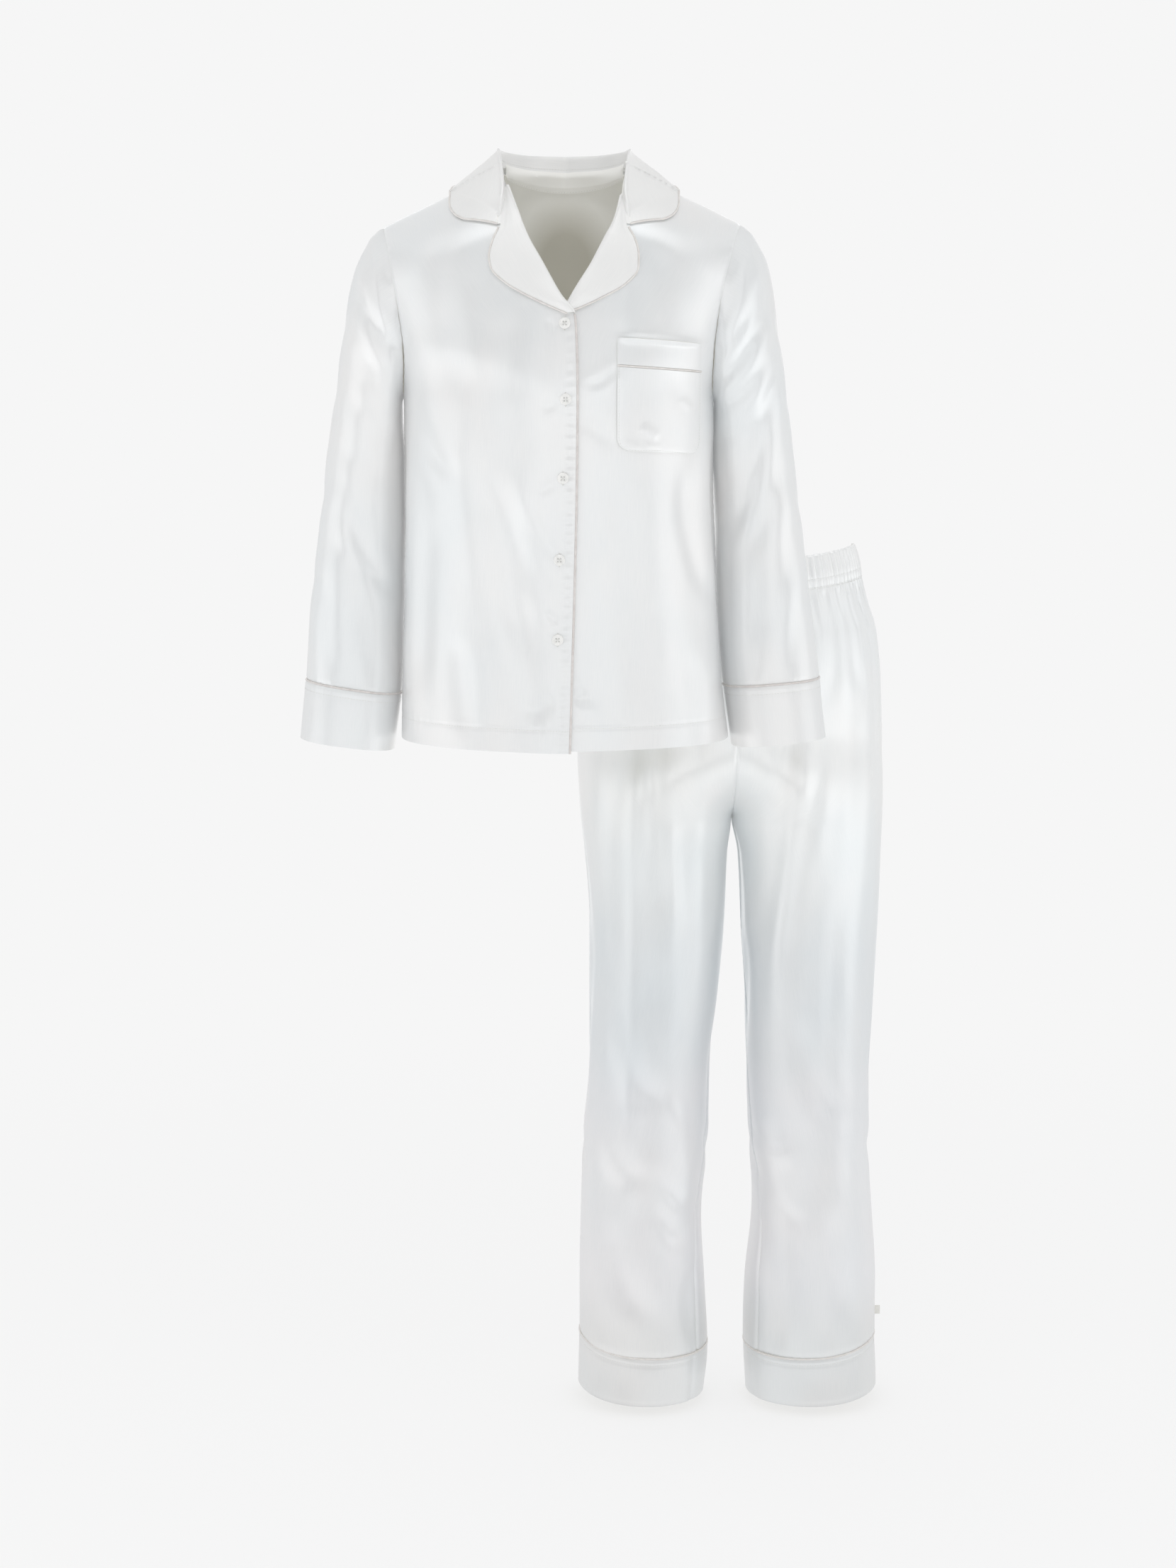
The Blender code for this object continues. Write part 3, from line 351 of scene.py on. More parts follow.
@dataclass(frozen=True)
class Crease:
    """A trough, or with a depth under 0 a ridge, drawn as a bowed line in one view."""

    start: tuple[float, float]
    end: tuple[float, float]
    width: float
    depth: float
    bow: float = 0.0
    view: View = View.FRONT
    roll: Roll = Roll.SOFT
    overrun: float = 0.2
    BANK = 1.9
    BANK_HEIGHT = 0.32
    EDGE_ON = 0.08
    FACE_RUN = 0.4

    def profile(self, across: Array) -> Array:
        """The depth's share over the distance from the line, in widths.

        Args:
            across: the distance from the line, in widths.

        Returns:
            The shares.
        """
        middle = np.exp(-(across**2))
        if self.roll is Roll.SOFT:
            return middle
        banks = np.exp(-((across - self.BANK) ** 2)) + np.exp(-((across + self.BANK) ** 2))
        return middle - self.BANK_HEIGHT * banks

    def sink(self, skin: Skin, normals: Grid) -> Array:
        """How far it sinks each point that faces its view.

        Args:
            skin: the pressed skin.
            normals: its normals.

        Returns:
            The depths in millimetres.
        """
        axis, sign = self.view.value
        run = np.subtract(self.end, self.start)
        length = float(np.hypot(*run))
        across = skin.points[..., 1 - axis] - self.start[0]
        upward = skin.points[..., 2] - self.start[1]
        along = (across * run[0] + upward * run[1]) / length**2
        off = (across * run[1] - upward * run[0]) / length
        off = off - self.bow * (1 - (2 * along - 1) ** 2)
        before, after = along + self.overrun, 1 + self.overrun - along
        taper = ease(before / (2 * self.overrun)) * ease(after / (2 * self.overrun))
        facing = ease((normals[..., axis] * sign - self.EDGE_ON) / self.FACE_RUN)
        return self.depth * taper * facing * self.profile(off / self.width)


def drawn(view: View, roll: Roll, *rows: tuple[float, ...]) -> tuple[Crease, ...]:
    """Creases of one view and roll, by start x and z, end x and z, width, depth and bow."""
    return tuple(Crease(row[:2], row[2:4], *row[4:], view=view, roll=roll) for row in rows)


@dataclass(frozen=True)
class Unevenness:
    """The soft unevenness of hung cloth."""

    seed: int
    depth: float
    cell: tuple[float, float, float]
    ORIGIN = 40.0

    def sink(self, skin: Skin, normals: Grid) -> Array:
        """How far it sinks each point."""
        return self.depth * Noise(self.seed).at(skin.points / np.array(self.cell) + self.ORIGIN)


@dataclass(frozen=True)
class Seam:
    """A sewn line beside an edge: a groove, and the puckers that its thread draws up."""

    edge: Edge
    offset: float = 0.0
    groove: float = 0.5
    width: float = 1.6
    pucker: float = 0.35
    pitch: float = 9.0
    reach: float = 6.0
    seed: int = 5
    WANDER = 2.2
    STEADY = 0.6

    def sink(self, skin: Skin, normals: Grid) -> Array:
        """How far it sinks each point.

        Args:
            skin: the pressed skin.
            normals: its normals.

        Returns:
            The depths in millimetres.
        """
        off = skin.distance(self.edge) - self.offset
        along = skin.along(self.edge)
        noise = Noise(self.seed)
        zero = np.zeros_like(along)
        shift = noise.at(points_of(along / (3 * self.pitch), zero, zero)) * self.WANDER
        change = noise.at(points_of(along / (2 * self.pitch), zero, zero + 9.5))
        strength = self.STEADY + (1 - self.STEADY) * change
        wave = np.sin(2 * math.pi * along / self.pitch + shift) * strength
        groove = self.groove * np.exp(-((off / self.width) ** 2))
        return groove + self.pucker * wave * np.exp(-((off / self.reach) ** 2))


# ------------------------------------------------------------------ meshes


def shell_mesh(name: str, skin: Skin, wall: float) -> bpy.types.Mesh:
    """A closed thin shell: the skin, its lining side, and the rim between them.

    Args:
        name: the mesh's name.
        skin: the outer face.
        wall: the cloth's thickness in millimetres.

    Returns:
        A mesh with the skin on material slot 0 and the rest on slot 1, and a map in metres.
    """
    rows, columns = skin.points.shape[:2]
    count = rows * columns
    inner = skin.points - skin.normals() * wall
    ids = np.arange(count).reshape(rows, columns)
    across, down = skin.run(1), skin.run(0)
    if skin.wrapped:
        ids = np.concatenate([ids, ids[:, :1]], axis=1)
        gap = np.linalg.norm(skin.points[:, :1] - skin.points[:, -1:], axis=-1)
        across = np.concatenate([across, across[:, -1:] + gap], axis=1)
        down = np.concatenate([down, down[:, :1]], axis=1)
    chart = np.stack([across, down], axis=-1) * MM
    corners = ((0, 0), (0, 1), (1, 1), (1, 0))
    if not faces_out(skin):
        corners = corners[::-1]
    quads, charts = [], []
    height, width = ids.shape[0] - 1, ids.shape[1] - 1
    for row, column in corners:
        quads.append(ids[row:row + height, column:column + width].reshape(-1))
        charts.append(chart[row:row + height, column:column + width].reshape(-1, 2))
    outer = np.stack(quads, axis=1)
    outer_map = np.stack(charts, axis=1)
    rim, rim_map = rim_faces(ids, chart, count, skin.wrapped, corners[0] == (0, 0))
    faces = np.concatenate([outer, outer[:, ::-1] + count, rim])
    maps = np.concatenate([outer_map, outer_map[:, ::-1], rim_map])
    vertices = np.concatenate([skin.points.reshape(-1, 3), inner.reshape(-1, 3)]) * MM
    mesh = bpy.data.meshes.new(name)
    mesh.from_pydata(vertices.tolist(), [], faces.tolist())
    layer = mesh.uv_layers.new(name="cloth")
    layer.data.foreach_set("uv", maps.reshape(-1).astype(np.float32))
    slots = np.ones(len(faces), dtype=np.int32)
    slots[:len(outer)] = 0
    mesh.polygons.foreach_set("material_index", slots)
    mesh.shade_smooth()
    mesh.set_sharp_from_angle(angle=CLOTH_SHARP)
    mesh.update()
    return mesh


def taken(made: bmesh.types.BMesh, name: str) -> bpy.types.Mesh:
    """The mesh of a form that was edited, which is then let go.

    Args:
        made: the form.
        name: the mesh's name.

    Returns:
        The mesh.
    """
    mesh = bpy.data.meshes.new(name)
    made.to_mesh(mesh)
    made.free()
    return mesh


def added(name: str, data: bpy.types.ID) -> bpy.types.Object:
    """A new object in the scene.

    Args:
        name: the object's name.
        data: its mesh, light or camera.

    Returns:
        The object.
    """
    made = bpy.data.objects.new(name, data)
    bpy.context.scene.collection.objects.link(made)
    return made


def faces_out(skin: Skin) -> bool:
    """Whether the grid's own turn, rows down and columns across, already faces outwards.

    Args:
        skin: the skin.

    Returns:
        Whether its own faces look outwards.
    """
    p = skin.points
    own = np.cross(p[1:, :-1] - p[:-1, :-1], p[:-1, 1:] - p[:-1, :-1])
    return float(np.sum(own * skin.normals()[:-1, :-1])) < 0


def rim_faces(ids: Array, chart: Array, count: int, wrapped: bool,
              straight: bool) -> tuple[Array, Array]:
    """The faces that close a shell along its edges.

    Args:
        ids: the skin's vertex numbers, with the first column again at the end if wrapped.
        chart: the map at each of them.
        count: how many vertices the skin has.
        wrapped: whether only the first and last rows are edges.
        straight: whether the skin's faces turn from rows to columns.

    Returns:
        The faces and their maps.
    """
    lines = [(ids[0], chart[0], False), (ids[-1], chart[-1], True)]
    if not wrapped:
        lines += [(ids[:, 0], chart[:, 0], True), (ids[:, -1], chart[:, -1], False)]
    faces, maps = [], []
    for line, places, turned in lines:
        a, b = line[:-1], line[1:]
        u, v = places[:-1], places[1:]
        if turned == straight:
            a, b, u, v = b, a, v, u
        faces.append(np.stack([b, a, a + count, b + count], axis=1))
        maps.append(np.stack([v, u, u, v], axis=1))
    return np.concatenate(faces), np.concatenate(maps)


def frames_along(path: Grid, closed: bool, up: Grid | None = None) -> tuple[Grid, Grid]:
    """Two directions square to a path at each of its points.

    Args:
        path: the points.
        closed: whether the last joins the first.
        up: the directions that the second one should lean to, or none for a steady turn.

    Returns:
        The sideways and the upward directions.
    """
    if closed:
        way = unit(np.roll(path, -1, 0) - np.roll(path, 1, 0))
    else:
        way = unit(np.gradient(path, axis=0))
    if up is None:
        up = np.broadcast_to(np.array([0.05, -0.6, 0.8]), path.shape)
    side = unit(np.cross(way, up))
    return side, np.cross(side, way)


def tube_mesh(name: str, path: Grid, radius: float = CORD_RADIUS, sides: int = 12,
              closed: bool = False, up: Grid | None = None) -> bpy.types.Mesh:
    """A round cord along a path, with a map in metres: round it, then along it.

    Args:
        name: the mesh's name.
        path: the points of its middle.
        radius: its radius in millimetres.
        sides: how many sides it has.
        closed: whether the last point joins the first.
        up: the directions that its rings lean to, or none for a steady turn.

    Returns:
        The mesh.
    """
    side, lift = frames_along(path, closed, up)
    turns = circle(sides)
    ring = (side[:, None] * np.cos(turns)[None, :, None]
            + lift[:, None] * np.sin(turns)[None, :, None])
    points = path[:, None] + ring * radius
    rows = len(path)
    ids = np.arange(rows * sides).reshape(rows, sides)
    if closed:
        ids = np.concatenate([ids, ids[:1]])
    ids = np.concatenate([ids, ids[:, :1]], axis=1)
    faces = np.stack([ids[:-1, :-1], ids[1:, :-1], ids[1:, 1:], ids[:-1, 1:]], axis=-1)
    faces = faces.reshape(-1, 4).tolist()
    if not closed:
        faces += [ids[0, :-1].tolist(), ids[-1, :-1][::-1].tolist()]
    mesh = bpy.data.meshes.new(name)
    mesh.from_pydata((points.reshape(-1, 3) * MM).tolist(), [], faces)
    layer = mesh.uv_layers.new(name="cloth")
    spaced = run_of(path)
    for polygon in mesh.polygons:
        for loop in polygon.loop_indices:
            vertex = mesh.loops[loop].vertex_index
            share = (vertex % sides) / sides
            layer.data[loop].uv = (share * 2 * math.pi * radius * MM, spaced[vertex // sides] * MM)
    mesh.shade_smooth()
    mesh.set_sharp_from_angle(angle=CORD_SHARP)
    return mesh


@dataclass(frozen=True)
class Thread:
    """A row of stitches: their spacing, length and thickness."""

    pitch: float = 3.2
    length: float = 2.3
    radius: float = 0.26
    sides: int = 6
    RINGS = ((-0.62, 0.78), (0.0, 1.0), (0.62, 0.78))
    TUCK = 0.9

    def mesh(self, name: str, path: Grid, up: Grid, closed: bool = False) -> bpy.types.Mesh:
        """The stitches along a path on cloth.

        Args:
            name: the mesh's name.
            path: the points of the sewn line.
            up: the cloth's normals at them.
            closed: whether the last point joins the first.

        Returns:
            One mesh with every stitch in it.
        """
        if closed:
            path, up = np.vstack([path, path[:1]]), np.vstack([up, up[:1]])
        run = run_of(path)
        count = max(int(run[-1] / self.pitch), 1)
        middles = (np.arange(count) + 0.5) * run[-1] / count
        middle, lift = read_along(path, run, middles), unit(read_along(up, run, middles))
        way = unit(read_along(path, run, middles + 0.5) - read_along(path, run, middles - 0.5))
        side = unit(np.cross(way, lift))
        turns = circle(self.sides)
        parts = []
        for station, full in self.RINGS:
            ring = (side[:, None] * np.cos(turns)[:, None] + lift[:, None] * np.sin(turns)[:, None])
            centre = middle + way * station * self.length / 2
            parts.append(centre[:, None] + ring * self.radius * full)
        for end in (-1, 1):
            tip = middle + way * end * self.length / 2 - lift * self.radius * self.TUCK
            parts.append(tip[:, None])
        points = np.concatenate(parts, axis=1)
        n = self.sides
        faces = []
        for k in range(2):
            for j in range(n):
                a, b = k * n + j, k * n + (j + 1) % n
                faces.append((a, a + n, b + n, b))
        for j in range(n):
            faces.append((j, (j + 1) % n, 3 * n))
            faces.append((2 * n + (j + 1) % n, 2 * n + j, 3 * n + 1))
        every = [[index + k * points.shape[1] for index in face]
                 for k in range(count) for face in faces]
        mesh = bpy.data.meshes.new(name)
        mesh.from_pydata((points.reshape(-1, 3) * MM).tolist(), [], every)
        made = bmesh.new()
        made.from_mesh(mesh)
        bmesh.ops.recalc_face_normals(made, faces=made.faces[:])
        made.to_mesh(mesh)
        made.free()
        mesh.shade_smooth()
        return mesh


# ------------------------------------------------------------------ finishes


class Nodes:
    """The nodes of a material or a world, each made and wired in one call."""

    def __init__(self, owner: bpy.types.Material | bpy.types.World) -> None:
        """Starts with the nodes that the owner has, a Principled shader in a material.

        Args:
            owner: the material or world.
        """
        owner.use_nodes = True
        self.owner, self.tree = owner, owner.node_tree
        self.shader = self.tree.nodes.get("Principled BSDF")

    def add(self, kind: str, settings: dict[str, object] | None = None,
            **inputs: object) -> bpy.types.Node:
        """Adds a node.

        Args:
            kind: the node's type, without its prefix.
            settings: properties of the node by name.
            inputs: values or sockets for its inputs, by name with _ for a space.

        Returns:
            The node.
        """
        node = self.tree.nodes.new("ShaderNode" + kind)
        for name, value in (settings or {}).items():
            setattr(node, name, value)
        self.feed(node, inputs)
        return node

    def feed(self, node: bpy.types.Node, inputs: dict[str, object]) -> None:
        """Sets or wires a node's inputs.

        Args:
            node: the node.
            inputs: values or sockets by name, with _ for a space.
        """
        for name, value in inputs.items():
            socket = node.inputs[name.replace("_", " ")]
            if isinstance(value, Socket):
                self.tree.links.new(value, socket)
            else:
                socket.default_value = value

    def dress(self, **inputs: object) -> None:
        """Sets or wires the shader's inputs."""
        self.feed(self.shader, inputs)

    def stretched(self, scale: tuple[float, float, float], detail: float = 2.0,
                  source: str = "cloth") -> Socket:
        """Noise stretched over the cloth's map, or over the object's own space.

        Args:
            scale: cells per metre along each axis.
            detail: the noise's octaves.
            source: the map's name, or nothing for the object's space.

        Returns:
            The noise's factor.
        """
        if source:
            vector = self.add("UVMap", {"uv_map": source}).outputs["UV"]
        else:
            vector = self.add("TexCoord").outputs["Object"]
        placed = self.add("Mapping", Vector=vector, Scale=scale)
        noise = self.add("TexNoise", Vector=placed.outputs["Vector"], Scale=1.0, Detail=detail)
        return noise.outputs["Fac"]

    def between(self, factor: Socket, low: Colour, high: Colour,
                start: float = 0.35, stop: float = 0.65) -> Socket:
        """A colour that runs from one to another over a factor.

        Args:
            factor: the number that it follows.
            low: the colour up to the start.
            high: the colour from the stop on.
            start: where it begins to change.
            stop: where it has changed.

        Returns:
            The colour.
        """
        ramp = self.add("ValToRGB", Fac=factor)
        ends = ramp.color_ramp.elements
        ends[0].position, ends[1].position = start, stop
        ends[0].color, ends[1].color = (*low, 1.0), (*high, 1.0)
        return ramp.outputs["Color"]

    def bands(self, factor: Socket, stops: Sequence[tuple[float, Colour]]) -> Socket:
        """A colour that eases through many stops over a factor.

        Args:
            factor: the number that it follows.
            stops: the places and colours, lowest first.

        Returns:
            The colour.
        """
        ramp = self.add("ValToRGB", Fac=factor)
        ramp.color_ramp.interpolation = "EASE"
        ends = ramp.color_ramp.elements
        while len(ends) < len(stops):
            ends.new(0.5)
        for end, (place, tone) in zip(ends, stops):
            end.position, end.color = place, (*tone, 1.0)
        return ramp.outputs["Color"]

    def product(self, first: Socket, second: Socket) -> Socket:
        """One colour times another.

        Args:
            first: one colour.
            second: the other.

        Returns:
            The colour.
        """
        node = self.add("Mix", {"data_type": "RGBA", "blend_type": "MULTIPLY"}, Factor=1.0,
                        A=first, B=second)
        return node.outputs["Result"]

    def level(self, factor: Socket, low: float, high: float) -> Socket:
        """A number that runs from one to another over the middle of a factor.

        Args:
            factor: the number that it follows.
            low: the first number.
            high: the last one.

        Returns:
            The number.
        """
        node = self.add("MapRange", Value=factor, From_Min=0.3, From_Max=0.7,
                        To_Min=low, To_Max=high)
        return node.outputs["Result"]

    def relief(self, height: Socket, depth: float, strength: float,
               under: Socket | None = None) -> Socket:
        """A bump of a depth in metres, on another one if given.

        Args:
            height: the relief, from 0 to 1.
            depth: its depth in metres.
            strength: its share in the shading.
            under: the bump that it lies on.

        Returns:
            The bumped normal.
        """
        node = self.add("Bump", Height=height, Distance=depth, Strength=strength)
        if under is not None:
            self.tree.links.new(under, node.inputs["Normal"])
        return node.outputs["Normal"]


@dataclass(frozen=True)
class Finish:
    """What every finish has: a name, and the two tones that it varies between."""

    name: str
    light: Colour
    shade: Colour

    def nodes(self) -> Nodes:
        """The nodes of a new material with the finish's name."""
        return Nodes(bpy.data.materials.new(self.name))


@dataclass(frozen=True)
class Satin(Finish):
    """Warp-faced satin: fine streaks along the warp, and a sheen that spreads across it."""

    roughness: float = 0.33
    across: float = 0.6
    mirror: float = 0.36
    sheen: float = 0.06
    # painted sheen: tint bands by height that paint the light and shade the satin reflects
    painted_sheen_bands: tuple[tuple[float, Colour], ...] = ()

    def material(self) -> bpy.types.Material:
        """Builds the material.

        Returns:
            The material.
        """
        nodes = self.nodes()
        clouds = nodes.stretched((9.0, 9.0, 5.0), 3.0, "")
        streaks = nodes.stretched((2200.0, 40.0, 1.0), 3.0)
        threads = nodes.stretched((5200.0, 900.0, 1.0), 1.0)
        cloudy = nodes.between(clouds, self.shade, self.light)
        streaky = nodes.between(streaks, (0.955, 0.96, 0.965), (1.0, 1.0, 1.0), 0.3, 0.7)
        colour = nodes.product(cloudy, streaky)
        # painted sheen: the colour is multiplied by tint bands by height
        if self.painted_sheen_bands:
            colour = nodes.product(colour, self.painted_sheen(nodes))
        fine = nodes.relief(threads, 0.00006, 0.35)
        bump = nodes.relief(streaks, 0.00012, 0.4, fine)
        tangent = nodes.add("Tangent", {"direction_type": "UV_MAP", "uv_map": "cloth"})
        nodes.dress(Base_Color=colour, Normal=bump,
                    Roughness=nodes.level(streaks, self.roughness - 0.05, self.roughness + 0.05),
                    Metallic=self.mirror, Specular_IOR_Level=0.5, Anisotropic=self.across,
                    Tangent=tangent.outputs["Tangent"], Sheen_Weight=self.sheen,
                    Sheen_Roughness=0.45)
        return nodes.owner

    def painted_sheen(self, nodes: Nodes) -> Socket:
        """Painted sheen: tint bands by height, in metres lowest first, that paint the light and
        shade the satin reflects.

        Args:
            nodes: the material's nodes.

        Returns:
            The colour.
        """
        height = nodes.add("SeparateXYZ", Vector=nodes.add("TexCoord").outputs["Object"])
        low, high = self.painted_sheen_bands[0][0], self.painted_sheen_bands[-1][0]
        place = nodes.add("MapRange", Value=height.outputs["Z"], From_Min=low, From_Max=high)
        stops = [((z - low) / (high - low), tone) for z, tone in self.painted_sheen_bands]
        return nodes.bands(place.outputs["Result"], stops)


@dataclass(frozen=True)
class Reverse(Finish):
    """The dull side of satin, as it shows inside."""

    roughness: float = 0.62
    # the tone of the painted shade in the neck's depth
    deep: Colour | None = None

    def material(self) -> bpy.types.Material:
        """Builds the material, with painted shade that darkens it in the neck's depth if a tone is
        given for it.

        Returns:
            The material.
        """
        nodes = self.nodes()
        clouds = nodes.stretched((8.0, 8.0, 6.0), 2.0, "")
        floats = nodes.stretched((1500.0, 260.0, 1.0), 2.0)
        colour = nodes.between(clouds, self.shade, self.light)
        # painted shade: darker towards the middle of an ellipse round the neck's depth, in object
        # space
        if self.deep:
            placed = nodes.add("Mapping", Vector=nodes.add("TexCoord").outputs["Object"],
                               Location=(0.0, 0.0, 1.2), Scale=(17.0, 0.0, 11.0))
            away = nodes.add("VectorMath", {"operation": "LENGTH"}, Vector=placed.outputs["Vector"])
            shade = nodes.between(away.outputs["Value"], self.deep, (1.0, 1.0, 1.0), 0.5, 1.1)
            colour = nodes.product(colour, shade)
        nodes.dress(Base_Color=colour,
                    Normal=nodes.relief(floats, 0.0001, 0.4),
                    Roughness=nodes.level(floats, self.roughness - 0.06, self.roughness + 0.06),
                    Specular_IOR_Level=0.3, Sheen_Weight=0.2, Sheen_Roughness=0.5)
        return nodes.owner


@dataclass(frozen=True)
class PipingCord(Finish):
    """A cord covered in bias-cut satin, whose slanting threads show as fine ribs."""

    roughness: float = 0.36

    def material(self) -> bpy.types.Material:
        """Builds the material.

        Returns:
            The material.
        """
        nodes = self.nodes()
        uv = nodes.add("UVMap", {"uv_map": "cloth"}).outputs["UV"]
        slant = nodes.add("Mapping", Vector=uv, Rotation=(0.0, 0.0, math.radians(40)))
        ribs = nodes.add("TexWave", Vector=slant.outputs["Vector"], Scale=480.0, Distortion=1.5)
        wear = nodes.stretched((160.0, 160.0, 160.0), 2.0, "")
        nodes.dress(Base_Color=nodes.between(wear, self.shade, self.light),
                    Normal=nodes.relief(ribs.outputs["Fac"], 0.00012, 0.5),
                    Roughness=nodes.level(wear, self.roughness - 0.04, self.roughness + 0.06),
                    Specular_IOR_Level=0.6, Sheen_Weight=0.15)
        return nodes.owner


@dataclass(frozen=True)
class Spun(Finish):
    """Sewing thread or woven tape, with the twist of its strands."""

    strands: float = 1500.0
    roughness: float = 0.55

    def material(self) -> bpy.types.Material:
        """Builds the material.

        Returns:
            The material.
        """
        nodes = self.nodes()
        space = nodes.add("TexCoord").outputs["Object"]
        twist = nodes.add("TexWave", {"bands_direction": "DIAGONAL"}, Vector=space,
                          Scale=self.strands, Distortion=2.0).outputs["Fac"]
        nodes.dress(Base_Color=nodes.between(twist, self.shade, self.light, 0.2, 0.8),
                    Normal=nodes.relief(twist, 0.00008, 0.4),
                    Roughness=self.roughness, Sheen_Weight=0.2)
        return nodes.owner


@dataclass(frozen=True)
class Pearl(Finish):
    """The clouded, slightly wet shine of a shell button."""

    roughness: float = 0.16

    def material(self) -> bpy.types.Material:
        """Builds the material.

        Returns:
            The material.
        """
        nodes = self.nodes()
        bands = nodes.stretched((260.0, 90.0, 170.0), 3.0, "")
        nodes.dress(Base_Color=nodes.between(bands, self.shade, self.light, 0.3, 0.7),
                    Normal=nodes.relief(bands, 0.0001, 0.15),
                    Roughness=nodes.level(bands, self.roughness, self.roughness + 0.12),
                    Coat_Weight=0.5, Coat_Roughness=0.08, Specular_IOR_Level=0.6)
        return nodes.owner


@dataclass(frozen=True)
class Finishes:
    """The finishes of the set."""

    satin: Satin = Satin("satin_ivory", (0.835, 0.83, 0.825), (0.80, 0.815, 0.82))
    collar: Satin = Satin("satin_collar", (0.85, 0.845, 0.835), (0.825, 0.82, 0.81), 0.44, 0.5, 0.2)
    # painted light: a lighter copy of the top's satin, with painted sheen bands by height
    trouser: Satin = Satin(
        "satin_trouser_painted_sheen", (0.91, 0.905, 0.90), (0.872, 0.888, 0.894), painted_sheen_bands=(
            (-1.50, (0.88, 0.875, 0.87)), (-1.41, (0.89, 0.885, 0.88)),
            (-1.32, (0.945, 0.937, 0.948)), (-1.20, (0.95, 0.945, 0.952)),
            (-1.10, (0.915, 0.915, 0.93)), (-1.04, (0.88, 0.895, 0.91)),
            (-0.95, (0.87, 0.89, 0.905)), (-0.80, (0.93, 0.945, 0.95)),
            (-0.70, (0.975, 0.975, 0.97)), (-0.42, (1.0, 0.995, 0.99))))
    reverse: Reverse = Reverse("satin_reverse", (0.76, 0.75, 0.70), (0.70, 0.69, 0.63))
    # the back's inside: a lighter copy of the reverse, painted light, with painted shade in the
    # neck's depth
    inside: Reverse = Reverse("satin_inside", (0.92, 0.915, 0.88), (0.88, 0.875, 0.84),
                              deep=(0.66, 0.645, 0.60))
    # painted light: lighter copies of the reverse that offset the shade where the stand and strip
    # face in
    stand: Reverse = Reverse("satin_facing_painted_light", (0.95, 0.95, 0.925), (0.92, 0.92, 0.895))
    strip: Reverse = Reverse("satin_strip_painted_light", (0.985, 0.98, 0.955), (0.96, 0.955, 0.93))
    cord: PipingCord = PipingCord("piping_satin", (0.71, 0.675, 0.655), (0.63, 0.59, 0.57))
    # painted light: a paler copy of the piping cord, for the cords that catch more light
    trim: PipingCord = PipingCord("piping_painted_light", (0.765, 0.74, 0.715), (0.70, 0.67, 0.645))
    thread: Spun = Spun("sewing_thread", (0.84, 0.84, 0.82), (0.66, 0.66, 0.64))
    tape: Spun = Spun("woven_tape", (0.82, 0.81, 0.77), (0.74, 0.73, 0.69), 900.0, 0.7)
    pearl: Pearl = Pearl("shell_button", (0.86, 0.85, 0.83), (0.76, 0.76, 0.74))


class Workshop:
    """Makes pieces, puts them on the body, and hides the solids that each stands for."""

    def __init__(self, finishes: Finishes) -> None:
        """Builds every finish once."""
        self.stuff = {name: getattr(finishes, name).material()
                      for name in finishes.__dataclass_fields__}

    def piece(self, mesh: bpy.types.Mesh, finishes: Sequence[str],
              stands_for: Sequence[str] = ()) -> bpy.types.Object:
        """Adds a mesh as a piece of the set.

        Args:
            mesh: the mesh, whose name the piece takes.
            finishes: the names of the finishes on its slots.
            stands_for: the solids that it is shown in place of.

        Returns:
            The piece.
        """
        for name in finishes:
            mesh.materials.append(self.stuff[name])
        made = added(mesh.name, mesh)
        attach(made, BODY)
        if stands_for:
            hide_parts(*stands_for)
        LOG.info("%s: %d faces", made.name, len(mesh.polygons))
        return made

    def cloth(self, name: str, skin: Skin, node: str, cut: tuple[float, float, float],
              finishes: tuple[str, str] = ("satin", "reverse"), wall: float = 0.9,
              held: str = "hung", rests_on: Sequence[str] = ()) -> bpy.types.Object:
        """Adds a piece of cloth.

        Args:
            name: the piece's name.
            skin: its outer face.
            node: the solid that it is shown in place of.
            cut: the width and length of its cut and its flat area, in metres; not used.
            finishes: the finishes of its outer face and of its lining side.
            wall: its thickness in millimetres.
            held: how it hangs; not used.
            rests_on: what it hangs from; not used.

        Returns:
            The piece.
        """
        made = self.piece(shell_mesh(name, skin, wall), finishes, [node])
        return made

    def stitches(self, name: str, path: tuple[Grid, Grid], closed: bool = False,
                 thread: Thread = Thread()) -> bpy.types.Object:
        """Adds a row of stitches along a path with its normals."""
        return self.piece(thread.mesh(name, path[0], path[1], closed), ["thread"])


# ------------------------------------------------------------------ the torso's form


